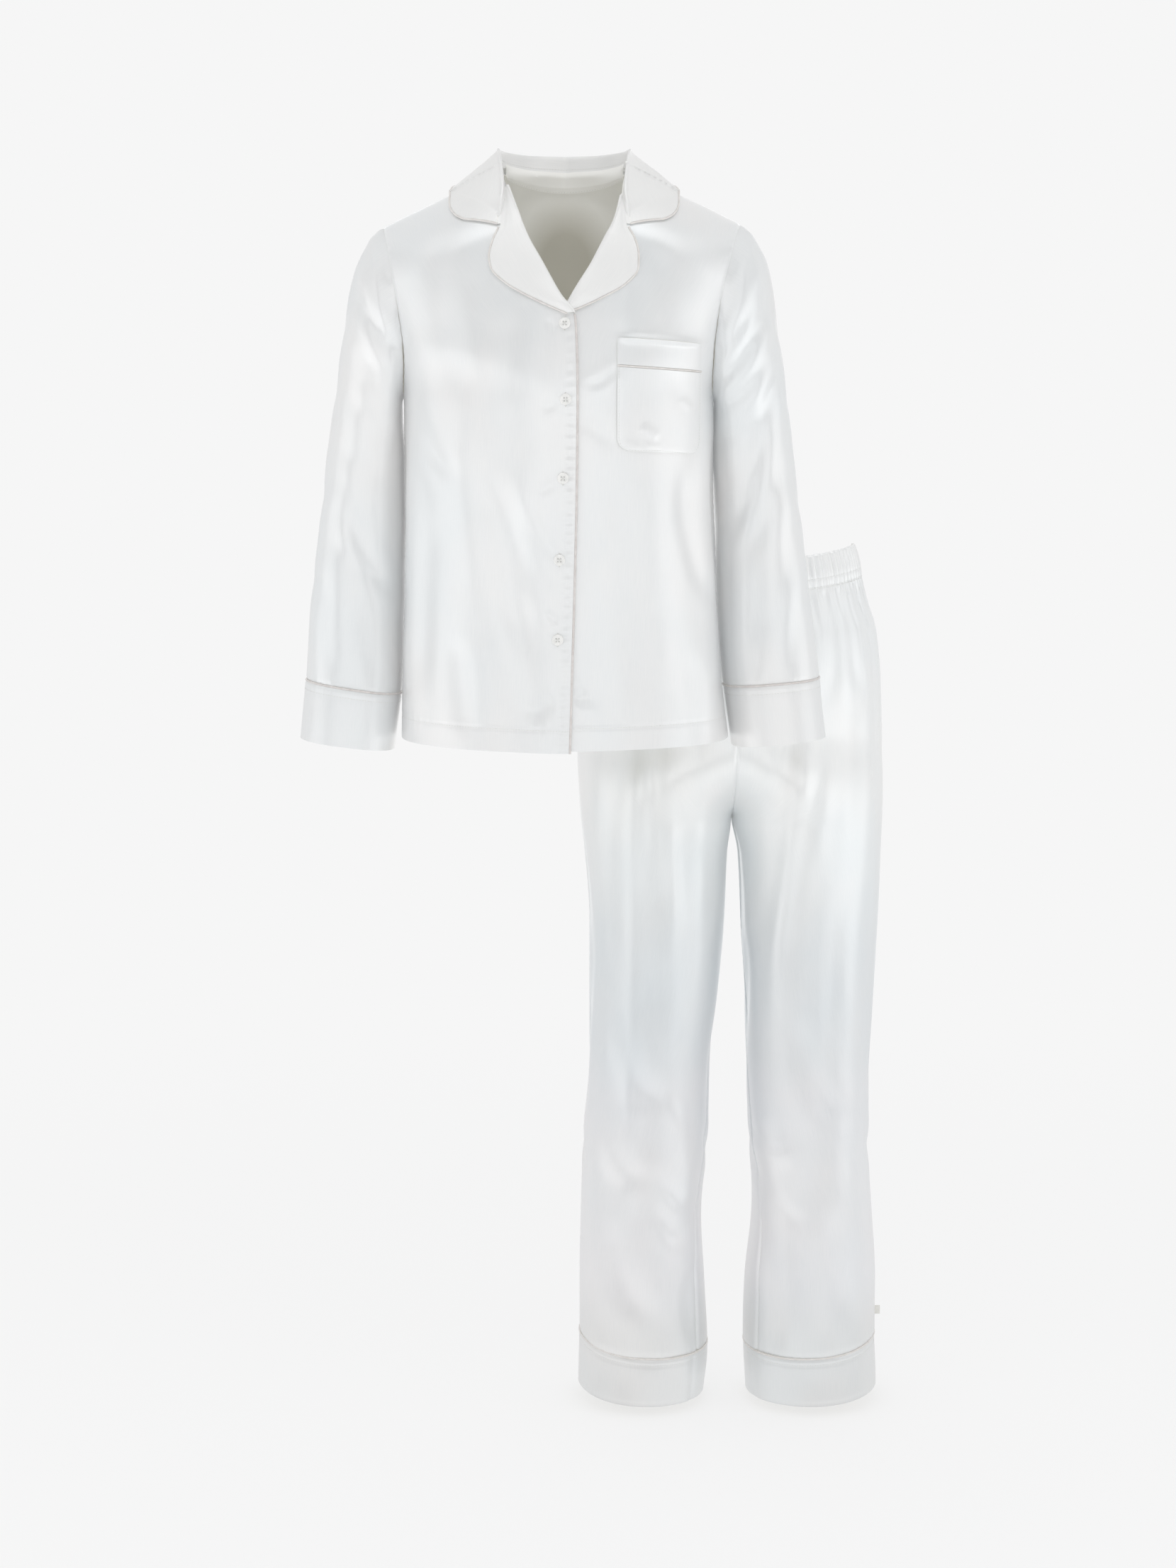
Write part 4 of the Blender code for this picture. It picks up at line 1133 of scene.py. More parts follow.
@dataclass(frozen=True)
class Torso:
    """The form that the top keeps: a rounded section at each height, under sloped shoulders."""

    fall: float = 0.49
    neck_round: float = 30.0
    neck_reach: float = 76.0
    neck_margin: float = 12.0
    squareness: float = 2.4
    front_bend: float = 75.0
    back_bend: float = 50.0
    probe: float = 0.02
    centre_z: float = 10.0
    girth: Sections = field(default_factory=lambda: Sections(
        "z right left front back",
        (20, 268, 260, 66, 74), (-20, 262, 254, 75, 80), (-61, 250, 242, 88, 88),
        (-90, 230, 219, 97, 95), (-113, 220, 208, 103, 99), (-142, 208, 195, 110, 102),
        (-174, 196, 182, 116, 104), (-205, 187, 174, 120, 105), (-246, 179, 165.5, 122, 105),
        (-290, 179, 166.5, 120.5, 104),
        (-330, 179, 166, 119, 103), (-440, 180, 170, 114, 102), (-560, 183, 177, 112, 103),
        (-640, 185, 186, 113, 104)))

    def ridge(self, x: Array | float) -> Array:
        """Height of the shoulder line over x."""
        return -self.fall * (np.hypot(x, self.neck_round) - self.neck_reach)

    def half_width(self, x: Array | float, z: Array | float) -> Array:
        """The half width on the side of x."""
        left, right = self.girth.read("left", z), self.girth.read("right", z)
        return np.where(np.asarray(x) > 0, left, right)

    def angle(self, x: Array | float, z: Array | float) -> Array:
        """The turn from the middle line that gives x at a height."""
        share = np.minimum(np.abs(x) / self.half_width(x, z), 1.0)
        return np.copysign(np.arcsin(share ** (self.squareness / 2)), x)

    def point(self, angle: Array, z: Array, face: Face) -> Grid:
        """The skin at a turn and a height.

        Args:
            angle: the turn from the middle line, under 0 to the right.
            z: the height.
            face: front or back.

        Returns:
            The points.
        """
        power = 2 / self.squareness
        x = self.half_width(angle, z) * np.sign(angle) * np.abs(np.sin(angle)) ** power
        deep = self.girth.read(face.word, z)
        bend = self.front_bend if face is Face.FRONT else self.back_bend
        below = np.clip((self.ridge(x) - z) / bend, 0.0, 1.0)
        level = np.clip(np.cos(angle), 0.0, None) ** power
        y = face.value * deep * level * np.sqrt(1 - (1 - below) ** 2)
        return points_of(x, y, z)

    def normal(self, angle: Array, z: Array, face: Face) -> Grid:
        """The outward direction of the skin.

        Args:
            angle: the turn from the middle line.
            z: the height.
            face: front or back.

        Returns:
            The normals.
        """
        kept = np.copysign(np.minimum(np.abs(angle), math.pi / 2 - self.probe), angle)
        around = self.point(kept + self.probe, z, face) - self.point(kept - self.probe, z, face)
        upward = self.point(kept, z + 1, face) - self.point(kept, z - 1, face)
        normal = unit(np.cross(around, upward))
        middle = self.point(angle, z, face)
        middle[..., 2] = self.centre_z
        return normal * np.where(dot(normal, middle) > 0, 1.0, -1.0)[..., None]

    def on(self, x: Array, z: Array, face: Face, lift: Array | float = 0.0) -> Grid:
        """The points over x and z, lifted off the skin.

        Args:
            x: across.
            z: the height.
            face: front or back.
            lift: the distance from the skin.

        Returns:
            The points.
        """
        x, z = np.broadcast_arrays(np.asarray(x, float), np.asarray(z, float))
        angle = self.angle(x, z)
        lift = np.broadcast_to(np.asarray(lift, float), x.shape)
        return self.point(angle, z, face) + self.normal(angle, z, face) * lift[..., None]

    def clear(self, points: Grid, gap: float) -> Grid:
        """The points, moved outwards until each stands a gap off the skin.

        Args:
            points: the points, in front, behind or over the shoulders.
            gap: the least distance.

        Returns:
            The moved points.
        """
        points = points.copy()
        for _ in range(4):
            x, y, z = np.moveaxis(points, -1, 0)
            angle = self.angle(x, z)
            front = (y < 0)[..., None]
            skin, normal = [np.where(front, read(angle, z, Face.FRONT), read(angle, z, Face.BACK))
                            for read in (self.point, self.normal)]
            over = (self.ridge(x) <= z - 0.01)[..., None]
            skin = np.where(over, points_of(x, 0.0 * x, self.ridge(x)), skin)
            slope = unit(points_of(np.copysign(self.fall, x), 0.0 * x, 1.0 + 0.0 * x))
            normal = np.where(over, slope, normal)
            short = np.clip(gap - dot(points - skin, normal), 0.0, None)
            inside = np.abs(x) < self.neck_reach - self.neck_margin
            short = np.where(over[..., 0] & inside, 0.0, short)
            points += normal * short[..., None]
        return points


# ------------------------------------------------------------------ fronts and back


@dataclass
class TopPanels:
    """The back and the two fronts of the top."""

    torso: Torso
    arm_base: float = -246.0
    hem_side: float = -628.0
    hem_back: float = -633.0
    neck_point: float = 72.0
    neck_drop: float = 11.0
    side_rows: int = 7
    rows: int = 16
    low_lines: int = 148
    high_lines: int = 100
    placket: float = 0.1
    placket_columns: int = 22
    placket_pucker: float = 1.4
    columns: int = 66
    back_columns: int = 62
    shoulder_bend: float = 0.62
    lap_lift: float = 3.0
    lap_x: float = -62.0
    lap_z: float = -120.0
    lap_fade: float = 40.0
    hem_stitch: float = 25.0
    uneven: Unevenness = Unevenness(11, 1.3, (52, 80, 120))
    tips: dict[Side, float] = field(default_factory=lambda: {Side.RIGHT: 200.0, Side.LEFT: 194.0})
    armholes: dict[Side, Sections] = field(default_factory=lambda: {
        Side.RIGHT: Sections("z x", (-62, 200), (-90, 193), (-113, 189), (-142, 184), (-174, 179),
                             (-205, 176), (-235, 178), (-246, 179)),
        Side.LEFT: Sections("z x", (-61, 194), (-72, 189), (-97, 182), (-134, 173), (-171, 167),
                            (-203, 164), (-235, 163.5), (-246, 164))})
    front_edges: dict[Side, Sections] = field(default_factory=lambda: {
        Side.RIGHT: Sections("row x z", (0, 5, -636), (2, 8, -530), (4, 11, -425), (6, 13, -320),
                             (8, 13.5, -245), (9, 13, -205), (10, 11, -165), (11, -5, -141),
                             (12, -23, -109), (13, -40, -79), (14, -52, -48), (15, -62, -22),
                             (16, -72, -0.98)),
        Side.LEFT: Sections("row x z", (0, -26, -634), (2, -23, -530), (4, -20, -425),
                            (6, -18, -320), (8, -17, -245), (9, -15, -205), (10, -2, -166),
                            (11, 13, -137), (12, 32, -106), (13, 45, -81), (14, 56, -58),
                            (15, 64, -28), (16, 72, -0.98))})
    main_folds: tuple[Crease, ...] = drawn(
        View.FRONT, Roll.SOFT, (-86, -330, -34, -520, 20, 5), (-120, -250, -96, -470, 20, -3),
        (-150, -400, -160, -560, 16, 4), (126, -330, 164, -520, 20, 2.4),
        (60, -360, 74, -560, 24, 1.8))
    front_creases: tuple[Crease, ...] = (
        *drawn(View.FRONT, Roll.SOFT, (-160, -196, -24, -232, 20, -2.2, -8),
               (16, -238, 146, -206, 20, -2.0, -8), (-167, -262, -171, -606, 12, -3.0),
               (154, -262, 164, -606, 12, -3.0), (-49, -344, -4, -426, 8, -1.2, 4),
               (-138, -96, -120, -232, 15, 1.6, 4), (-104, -120, -88, -226, 16, -1.5, 3),
               (-60, -170, -52, -246, 14, 1.1), (-38, -594, -14, -578, 11, 1.8),
               (-18, -481, -8, -492, 4, 1.2), (-22, -262, -8, -256, 6, 1.0),
               (-26, -350, -10, -342, 6, 0.9), (-8, -178, -18, -168, 4, 0.9),
               (100, -340, 112, -470, 14, -0.7, 3), (98, -92, 112, -178, 15, 1.4, 3),
               (70, -120, 64, -176, 12, -1.0), (62, -187, 144, -191.5, 4, -1.9)),
        *drawn(View.FRONT, Roll.BANKED, (-62, -372, -12, -470, 10, 0.8, 8),
               (-118, -520, -110, -612, 12, 2.2), (-60, -470, -30, -606, 13, 1.8, -5),
               (-163, -236, -128, -330, 10, 1.8, 8), (-170, -262, -150, -372, 10, 1.5, 5),
               (30, -238, 56, -219, 5, 1.7, 2), (18, -276, 54, -300, 9, 0.8, -3),
               (128, -334, 160, -470, 8, 1.2, 8), (150, -262, 128, -372, 10, 0.9, -6),
               (30, -420, 44, -590, 14, 0.9, 5), (92, -480, 84, -610, 12, 0.8),
               (140, -540, 146, -622, 9, 1.5), (13, -578, 26, -572, 8, 1.7)))
    back_creases: tuple[Crease, ...] = (
        *drawn(View.BACK, Roll.SOFT, (-60, -250, -82, -520, 24, 4), (70, -230, 96, -500, 24, 5)),
        *drawn(View.BACK, Roll.BANKED, (-160, -232, -112, -330, 11, 2.0, 8),
               (150, -236, 108, -338, 11, 2.0, -8), (-30, -330, -22, -560, 16, 2.0, 6),
               (34, -380, 28, -600, 15, 1.8, -5), (-128, -420, -142, -600, 13, 2.2, 4),
               (132, -440, 142, -606, 13, 2.0, -4), (-150, -110, -60, -176, 15, 1.5, 8),
               (146, -112, 58, -170, 15, 1.4, -8), (-40, -120, 40, -132, 16, 1.2, 4)))
    side_creases: tuple[Crease, ...] = (
        *drawn(View.RIGHT, Roll.BANKED, (-24, -300, -6, -460, 12, 1.8, 4),
               (30, -360, 22, -560, 13, 1.6, -4)),
        *drawn(View.LEFT, Roll.BANKED, (-26, -310, -10, -480, 12, 1.8, 4),
               (28, -380, 20, -570, 13, 1.6, -4)))

    def row_values(self) -> Array:
        """The rows that are read, from hem to shoulder: about one each 2.5 mm."""
        return np.concatenate([np.linspace(0, self.side_rows, self.low_lines),
                               np.linspace(self.side_rows, self.rows, self.high_lines)[1:]])

    def outer_edge(self, row: Array, side: Side) -> tuple[Array, Array]:
        """x and z of a panel's outer edge: the side seam, then the armhole.

        Args:
            row: the rows, from the hem up.
            side: the side.

        Returns:
            x and z.
        """
        rise = (row - self.side_rows) / (self.rows - self.side_rows)
        top = self.torso.ridge(self.tips[side])
        arm_z = mix(self.arm_base, top, (1 - np.cos(math.pi * np.clip(rise, 0, 1))) / 2)
        arm_x = side.value * self.armholes[side].read("x", arm_z)
        side_z = mix(self.hem_side, self.arm_base, np.clip(row / self.side_rows, 0, 1))
        side_x = side.value * self.torso.half_width(side.value, side_z)
        low = row <= self.side_rows
        return np.where(low, side_x, arm_x), np.where(low, side_z, arm_z)

    def spread(self, start: tuple[Array, Array], end: tuple[Array, Array], shares: Array,
               top_line: Callable[[Array], Array], row: Array) -> tuple[Array, Array]:
        """Turns and heights of rows, from their inner points to their outer ones.

        Args:
            start: x and z of the inner points.
            end: x and z of the outer points.
            shares: the shares across, for each row.
            top_line: the height of the panel's upper edge over x.
            row: the rows.

        Returns:
            The turns and the heights.
        """
        (x0, z0), (x1, z1) = [(x[:, None], z[:, None]) for x, z in (start, end)]
        first, last = self.torso.angle(x0, z0), self.torso.angle(x1, z1)
        follow = ease((row[:, None] / self.rows - self.shoulder_bend) / (1 - self.shoulder_bend))
        angle = mix(first, last, shares)
        level = z = mix(z0, z1, shares)
        drop = mix(top_line(x0) - z0, top_line(x1) - z1, shares)
        for _ in range(5):
            x = self.torso.point(angle, z, Face.FRONT)[..., 0]
            z = mix(level, top_line(x) - drop, follow)
        return angle, z

    def lap(self, points: Grid, side: Side) -> Array:
        """How far the right front is raised where it closes over the left one.

        Args:
            points: the front's points.
            side: which front.

        Returns:
            The heights.
        """
        if side is Side.LEFT:
            return np.zeros(points.shape[:-1])
        over = ease((points[..., 0] - self.lap_x) / self.lap_fade)
        return self.lap_lift * over * ease((self.lap_z - points[..., 2]) / self.lap_fade)

    def sunk(self, points: Grid, normals: Grid, *more: Form) -> Array:
        """How far the front's folds, its creases and more forms sink points of its plain form.

        Args:
            points: the points.
            normals: the normals there.
            more: the other forms.

        Returns:
            The depths.
        """
        skin = Skin(points, normals)
        forms = (*self.main_folds, *self.front_creases, *more)
        return sum(form.sink(skin, normals) for form in forms)

    def front_form(self, side: Side, row: Array, shares: Array) -> Grid:
        """The plain form of a front, with only its main folds.

        Args:
            side: the side.
            row: the rows, from the hem up.
            shares: the shares from the front edge outwards.

        Returns:
            The points, hem first.
        """
        edge = self.front_edges[side]
        start = edge.read("x", row), edge.read("z", row)
        angle, z = self.spread(start, self.outer_edge(row, side), shares[None],
                               self.torso.ridge, row)
        points = self.torso.point(angle, z, Face.FRONT)
        normals = self.torso.normal(angle, z, Face.FRONT)
        skin = Skin(points, normals)
        sink = sum(fold.sink(skin, normals) for fold in self.main_folds)
        return points + normals * (self.lap(points, side) - sink)[..., None]

    def front(self, side: Side) -> Skin:
        """A finished front, from its front edge to the side seam, shoulder first.

        Args:
            side: the side.

        Returns:
            The skin.
        """
        row = self.row_values()
        shares = np.concatenate([np.linspace(0, self.placket, self.placket_columns)[:-1],
                                 np.linspace(self.placket, 1, self.columns)])
        points = self.front_form(side, row, shares)
        skin = Skin(points[::-1], points[::-1] * (1, 1, 0))
        raised = self.placket_pucker if side is Side.RIGHT else 0.0
        return skin.pressed(
            *self.front_creases, *self.side_creases,
            self.uneven, Unevenness(12, 0.5, (22, 30, 44)),
            Seam(Edge.FAR, 0, 0.9, 2.2, 0.3, 11, 8),
            Seam(Edge.BOTTOM, self.hem_stitch, 0.6, 1.5, 0.35, 10, 9),
            Seam(Edge.TOP, 0, 0.6, 2.2, 0.15, 12, 6),
            Seam(Edge.NEAR, 6.0, 0.0, 2.0, raised, 11.6, 4.2))

    def back_line(self, x: Array) -> Array:
        """The back's upper edge: the neckline, then the shoulder seam.

        Args:
            x: across.

        Returns:
            The heights.
        """
        share = np.clip(np.abs(x) / self.neck_point, 0, 1)
        neck = mix(-self.neck_drop, self.torso.ridge(self.neck_point), share**2)
        return np.where(np.abs(x) >= self.neck_point, self.torso.ridge(x), neck)

    def back_half(self, side: Side, row: Array, shares: Array) -> Grid:
        """The plain form of half the back, from the middle outwards.

        Args:
            side: the side.
            row: the rows, from the hem up.
            shares: the shares from the middle outwards.

        Returns:
            The points, hem first.
        """
        neck_share = 0.4
        tip_x, tip_z = self.outer_edge(np.array([float(self.rows)]), side)
        inner = np.clip(shares / neck_share, 0, 1)
        outer = np.clip((shares - neck_share) / (1 - neck_share), 0, 1)
        seam = np.where(shares < neck_share, side.value * self.neck_point * inner,
                        mix(side.value * self.neck_point, tip_x, outer))
        tip = self.torso.angle(tip_x, tip_z)
        top_shares = self.torso.angle(seam, self.back_line(seam)) / tip
        rise = row / self.rows
        middle_z = mix(self.hem_back, -self.neck_drop, rise)
        spread = mix(shares[None], top_shares[None], ease(rise)[:, None])
        start = 0.0 * row + side.value * TINY, middle_z
        angle, z = self.spread(start, self.outer_edge(row, side), spread, self.back_line, row)
        return self.torso.point(angle, z, Face.BACK)

    def back(self) -> Skin:
        """The finished back, from the right side seam to the left one.

        Returns:
            The skin.
        """
        row = self.row_values()
        shares = np.linspace(0, 1, self.back_columns)
        halves = [self.back_half(side, row, shares) for side in (Side.RIGHT, Side.LEFT)]
        points = np.concatenate([halves[0][:, ::-1], halves[1][:, 1:]], axis=1)[::-1]
        skin = Skin(points, points * (1, 1, 0))
        return skin.pressed(
            *self.back_creases, *self.side_creases,
            Unevenness(13, 1.3, (56, 80, 120)), Unevenness(14, 0.5, (24, 30, 46)),
            Seam(Edge.FAR, 0, 0.9, 2.2, 0.3, 11, 8), Seam(Edge.NEAR, 0, 0.9, 2.2, 0.3, 11, 8),
            Seam(Edge.BOTTOM, self.hem_stitch, 0.35, 1.5, 0.28, 10, 9))

    def build(self, shop: Workshop) -> dict[str, Skin]:
        """Makes the panels and their hem stitches.

        Args:
            shop: where the pieces are made.

        Returns:
            The finished skins, by name.
        """
        skins = {side.word: self.front(side) for side in Side}
        skins["back"] = self.back()
        shop.cloth("back_panel", skins["back"], "top_back", (0.52, 0.68, 0.30), ("satin", "inside"),
                   rests_on=["top_front_right", "top_front_left"])
        for word in ("right", "left"):
            shop.cloth(f"front_panel_{word}", skins[word], f"top_front_{word}",
                       (0.29, 0.68, 0.155), rests_on=["top_back"])
        for word, skin in skins.items():
            shop.stitches(f"hem_stitches_{word}", skin.trace(Edge.BOTTOM, self.hem_stitch))
        return skins


# ------------------------------------------------------------------ sleeves and cuffs


@dataclass
class Sleeve:
    """One set-in sleeve with its cuff."""

    COLUMNS = "outer_x outer_z inner_x inner_z outer_y inner_y depth tuck"
    side: Side
    squareness: float = 2.2
    inner_squareness: float = 2.8
    tuck_power: int = 8
    around: int = 104
    stations: int = 132
    cuff_wall: float = 1.2
    cuff_stitch: float = 9.0
    cuff_lines: int = 26
    cuff_gap: float = 1.6 / 67.0
    cap_steps: int = 9
    cap_push: float = 1.15

    def sections(self) -> Sections:
        """The sleeve from its cap (0) to the cuff seam (1): edges, half the depth, inner tuck.

        Returns:
            The table.
        """
        columns = "t " + self.COLUMNS
        if self.side is Side.RIGHT:
            return Sections(
                columns, (0.00, -216, -77, -182, -257, 2, 2, 66, 0),
                (0.08, -232, -108, -182, -272, 3, 6, 67, 3),
                (0.17, -243, -156, -181, -292, 4, 10, 64, 8),
                (0.28, -252, -217, -180, -320, 5, 15, 60, 13),
                (0.42, -263, -290, -179.5, -362, 5, 20, 57, 14),
                (0.60, -274, -375, -180, -422, 5, 22, 55, 13),
                (0.80, -286, -468, -182, -500, 4, 20, 54, 12),
                (1.00, -293, -563, -186, -580, 2, 14, 52, 8))
        return Sections(
            columns, (0.00, 210, -74, 167, -257, 2, 2, 66, 0),
            (0.08, 225, -102, 167, -270, 3, 6, 67, 3),
            (0.17, 235, -155, 166.5, -288, 4, 10, 64, 8),
            (0.28, 245, -220, 166.5, -314, 5, 15, 60, 13),
            (0.42, 255, -300, 168, -356, 5, 22, 57, 13),
            (0.60, 267, -395, 170.5, -418, 5, 24, 55, 12),
            (0.80, 279, -490, 174, -498, 4, 22, 54, 11),
            (1.00, 288, -561, 180, -571, 2, 16, 52, 8))

    def hem(self) -> dict[str, float]:
        """The cuff's hem section.

        Returns:
            Its columns by name.
        """
        right = self.side is Side.RIGHT
        return dict(zip(self.COLUMNS.split(), (-300, -630, -195, -644, 0, 10, 54, 3) if right
                        else (296, -629, 190, -640, 0, 12, 54, 4)))

    def creases(self) -> tuple[Crease, ...]:
        """The sleeve's creases, main ones first.

        Returns:
            The creases.
        """
        if self.side is Side.RIGHT:
            return (
                *drawn(View.FRONT, Roll.SOFT, (-240, -130, -186, -205, 13, 3),
                       (-232, -205, -192, -262, 12, 1.8), (-232, -375, -200, -470, 14, 1.8),
                       (-206, -90, -214, -170, 14, 1.2)),
                *drawn(View.FRONT, Roll.BANKED, (-240, -118, -182, -196, 7, 1.4, 6),
                       (-246, -160, -188, -232, 8, 1.1, 7), (-250, -228, -196, -290, 9, 0.7, 6),
                       (-252, -300, -200, -340, 9, 0.5, 5), (-236, -380, -196, -462, 8, 1.3, 5),
                       (-262, -400, -214, -452, 9, 0.6, 5), (-272, -452, -262, -552, 10, 1),
                       (-220, -480, -214, -566, 10, 1, 3)),
                *drawn(View.BACK, Roll.BANKED, (-236, -140, -190, -240, 12, 3.8, 5),
                       (-248, -250, -196, -330, 12, 1.8, 5), (-262, -360, -206, -420, 12, 1.8, 5),
                       (-270, -450, -214, -500, 12, 1.4, 5)),
                *drawn(View.RIGHT, Roll.BANKED, (-34, -140, 20, -190, 13, 1.2, 6),
                       (36, -210, -20, -270, 13, 1.1, 6), (-30, -330, 34, -380, 13, 1.2, 6),
                       (36, -430, -24, -470, 12, 1, 6)))
        return (
            *drawn(View.FRONT, Roll.SOFT, (232, -135, 180, -225, 13, 3.8),
                   (238, -180, 196, -300, 13, -1.2), (212, -270, 186, -400, 13, 3.8),
                   (236, -240, 204, -420, 14, 1.5)),
            *drawn(View.FRONT, Roll.BANKED, (226, -112, 176, -196, 7, 1.6, -5),
                   (230, -140, 172, -232, 7, 1.8, -6), (236, -176, 174, -262, 8, 1.7, -8),
                   (240, -214, 182, -300, 9, 1.3, -8), (226, -240, 190, -390, 8, 1.6, -6),
                   (244, -300, 206, -420, 10, 1.1, -6), (258, -380, 232, -500, 11, 1, -4),
                   (216, -440, 204, -556, 10, 1.2, -3), (262, -470, 254, -556, 10, 0.9)),
            *drawn(View.BACK, Roll.BANKED, (230, -150, 186, -250, 12, 3.8, -5),
                   (242, -250, 192, -330, 12, 1.8, -5), (256, -360, 200, -424, 12, 1.8, -5),
                   (264, -450, 210, -500, 12, 1.4, -5)),
            *drawn(View.LEFT, Roll.BANKED, (-34, -140, 22, -196, 13, 1.3, 6),
                   (34, -220, -22, -282, 13, 1.2, 6), (-32, -330, 32, -392, 13, 1.2, 6),
                   (34, -440, -22, -486, 12, 1, 6)))

    def rings(self, part: dict[str, Array]) -> Grid:
        """Rings of the sleeve or cuff at sections, from the outer edge round by the front.

        Args:
            part: the sections' columns by name.

        Returns:
            One row of points for each section.
        """
        outer = points_of(part["outer_x"], part["outer_y"], part["outer_z"])[:, None]
        inner = points_of(part["inner_x"], part["inner_y"], part["inner_z"])[:, None]
        turn = circle(self.around)
        by_body = (np.cos(turn) < 0) & (np.sin(turn) > 0)
        power = 2 / np.where(by_body, self.inner_squareness, self.squareness)
        across = np.copysign(np.abs(np.cos(turn)) ** power, np.cos(turn))[None, :, None]
        deep = np.copysign(np.abs(np.sin(turn)) ** power, np.sin(turn))[None, :, None]
        depth, tuck = (np.asarray(part[name], float)[:, None, None] for name in ("depth", "tuck"))
        back = tuck * ((1 - across) / 2) ** self.tuck_power - depth * deep
        return (outer + inner) / 2 + (outer - inner) / 2 * across + back * (0, 1, 0)

    def armhole(self, panels: TopPanels, skins: dict[str, Skin]) -> tuple[Grid, Grid]:
        """The armhole's ring on the finished panels, and the way that each panel goes on there.

        Args:
            panels: the panels' forms.
            skins: the panels' finished skins.

        Returns:
            The ring's points, and the directions there.
        """
        row = panels.row_values()[::-1]
        front, back = skins[self.side.word].points, skins["back"].points
        if self.side is Side.RIGHT:
            back = back[:, ::-1]
        climb = panels.rows - panels.side_rows
        step = np.linspace(0, 2 * climb, self.around, endpoint=False)
        ring, inner = [], []
        for points, keep, rows in ((front, step <= climb, panels.rows - step),
                                   (back, step > climb, panels.side_rows - climb + step)):
            for column, found in ((-1, ring), (-6, inner)):
                found.append(read_along(points[::-1, column], row[::-1], rows[keep]))
        ring, inner = np.concatenate(ring), np.concatenate(inner)
        return ring, unit(ring - inner)

    def skin(self, panels: TopPanels, skins: dict[str, Skin]) -> Skin:
        """The finished sleeve, as rings from the armhole to the cuff seam.

        Args:
            panels: the panels' forms.
            skins: the panels' finished skins.

        Returns:
            The skin.
        """
        start, ways = self.armhole(panels, skins)
        table = self.sections()
        t = np.linspace(0, 1, self.stations)
        rings = self.rings({name: table.read(name, t) for name in self.hem()})
        turn = circle(self.around)
        level = ease((np.cos(turn) + 0.2) / 0.9)[:, None]
        straight = rings[0] - start
        reach = np.linalg.norm(straight, axis=-1, keepdims=True)
        leave = unit(mix(unit(straight), ways, level)) * reach * self.cap_push
        arrive = unit(rings[2] - rings[0]) * reach
        s = np.linspace(0, 1, self.cap_steps)[:-1, None, None]
        cap = ((2 * s**3 - 3 * s**2 + 1) * start + (s**3 - 2 * s**2 + s) * leave
               + (3 * s**2 - 2 * s**3) * rings[0] + (s**3 - s**2) * arrive)
        points = np.concatenate([cap, rings])
        middle = points.mean(axis=1, keepdims=True)
        skin = Skin(points, points - middle, wrapped=True)
        return skin.pressed(*self.creases(), Unevenness(21, 0.45, (34, 34, 64)),
                            Unevenness(22, 0.3, (14, 16, 26)),
                            Seam(Edge.TOP, 0, 1.1, 2.4, 0.5, 8.5, 10),
                            Seam(Edge.BOTTOM, 0, 0.8, 2.0, 0.35, 9, 9))

    def cuff(self, share: Array) -> Grid:
        """Rings of the cuff at shares of the way from its seam to its hem."""
        table, hem = self.sections(), self.hem()
        return self.rings({name: mix(table.read(name, 1.0), hem[name], share) for name in hem})

    def build(self, shop: Workshop, panels: TopPanels, skins: dict[str, Skin]) -> None:
        """Makes the sleeve, its cuff, the piping between them and the topstitch.

        Args:
            shop: where the pieces are made.
            panels: the panels' forms.
            skins: the panels' finished skins.
        """
        word = self.side.word
        skin = self.skin(panels, skins)
        shop.cloth(f"sleeve_cloth_{word}", skin, f"sleeve_{word}", (0.37, 0.56, 0.157),
                   rests_on=[f"top_front_{word}", "top_back"])
        points = self.cuff(np.linspace(1.3 * self.cuff_gap, 1, self.cuff_lines))
        band = Skin(points, points - points.mean(axis=1, keepdims=True), wrapped=True)
        band = band.pressed(Unevenness(23, 0.7, (30, 34, 50)),
                            Seam(Edge.TOP, 0, 0.7, 1.8, 0.3, 9, 7),
                            Seam(Edge.TOP, self.cuff_stitch, 0.35, 1.4, 0.25, 9, 6))
        shop.cloth(f"cuff_band_{word}", band, f"cuff_{word}", (0.32, 0.075, 0.0215),
                   wall=self.cuff_wall, rests_on=[f"sleeve_{word}"])
        shop.stitches(f"cuff_stitches_{word}", band.trace(Edge.TOP, self.cuff_stitch),
                      closed=True)
        path = self.cuff(np.array([self.cuff_gap * 0.7]))[0]
        cord = tube_mesh(f"cuff_cord_{word}", path, closed=True)
        shop.piece(cord, ["cord"], [f"piping_cuff_{word}"])


# ------------------------------------------------------------------ collar, lapels and facing


def beside(torso: Torso, edge: Grid, inner: Grid) -> Grid:
    """A cord's path beside a skin's edge.

    Args:
        torso: the form under it.
        edge: the edge's points in order.
        inner: the neighbour of each one inside the skin.

    Returns:
        The path.
    """
    way = unit(np.gradient(edge, axis=0))
    outward = edge - inner
    outward = unit(outward - way * dot(outward, way)[:, None])
    for _ in range(6):
        outward[1:-1] = unit(outward[:-2] + 2 * outward[1:-1] + outward[2:])
    x, y, z = edge.T
    angle = torso.angle(x, z)
    front, back = torso.normal(angle, z, Face.FRONT), torso.normal(angle, z, Face.BACK)
    normal = np.where((y < 0)[:, None], front, back)
    return edge + outward * CORD_REACH - normal * CORD_SINK


def evenly(path: Grid, step: float = 2.0) -> Grid:
    """The path, read again at even steps."""
    run = run_of(path)
    return read_along(path, run, np.linspace(0, run[-1], max(int(run[-1] / step), 2)))


def smoothed(path: Grid, rounds: int = 4) -> Grid:
    """The path with its inner points eased towards their neighbours.

    Args:
        path: the points.
        rounds: how often they are eased.

    Returns:
        The eased points.
    """
    path = path.copy()
    for _ in range(rounds):
        path[1:-1] = (path[:-2] + 2 * path[1:-1] + path[2:]) / 4
    return path


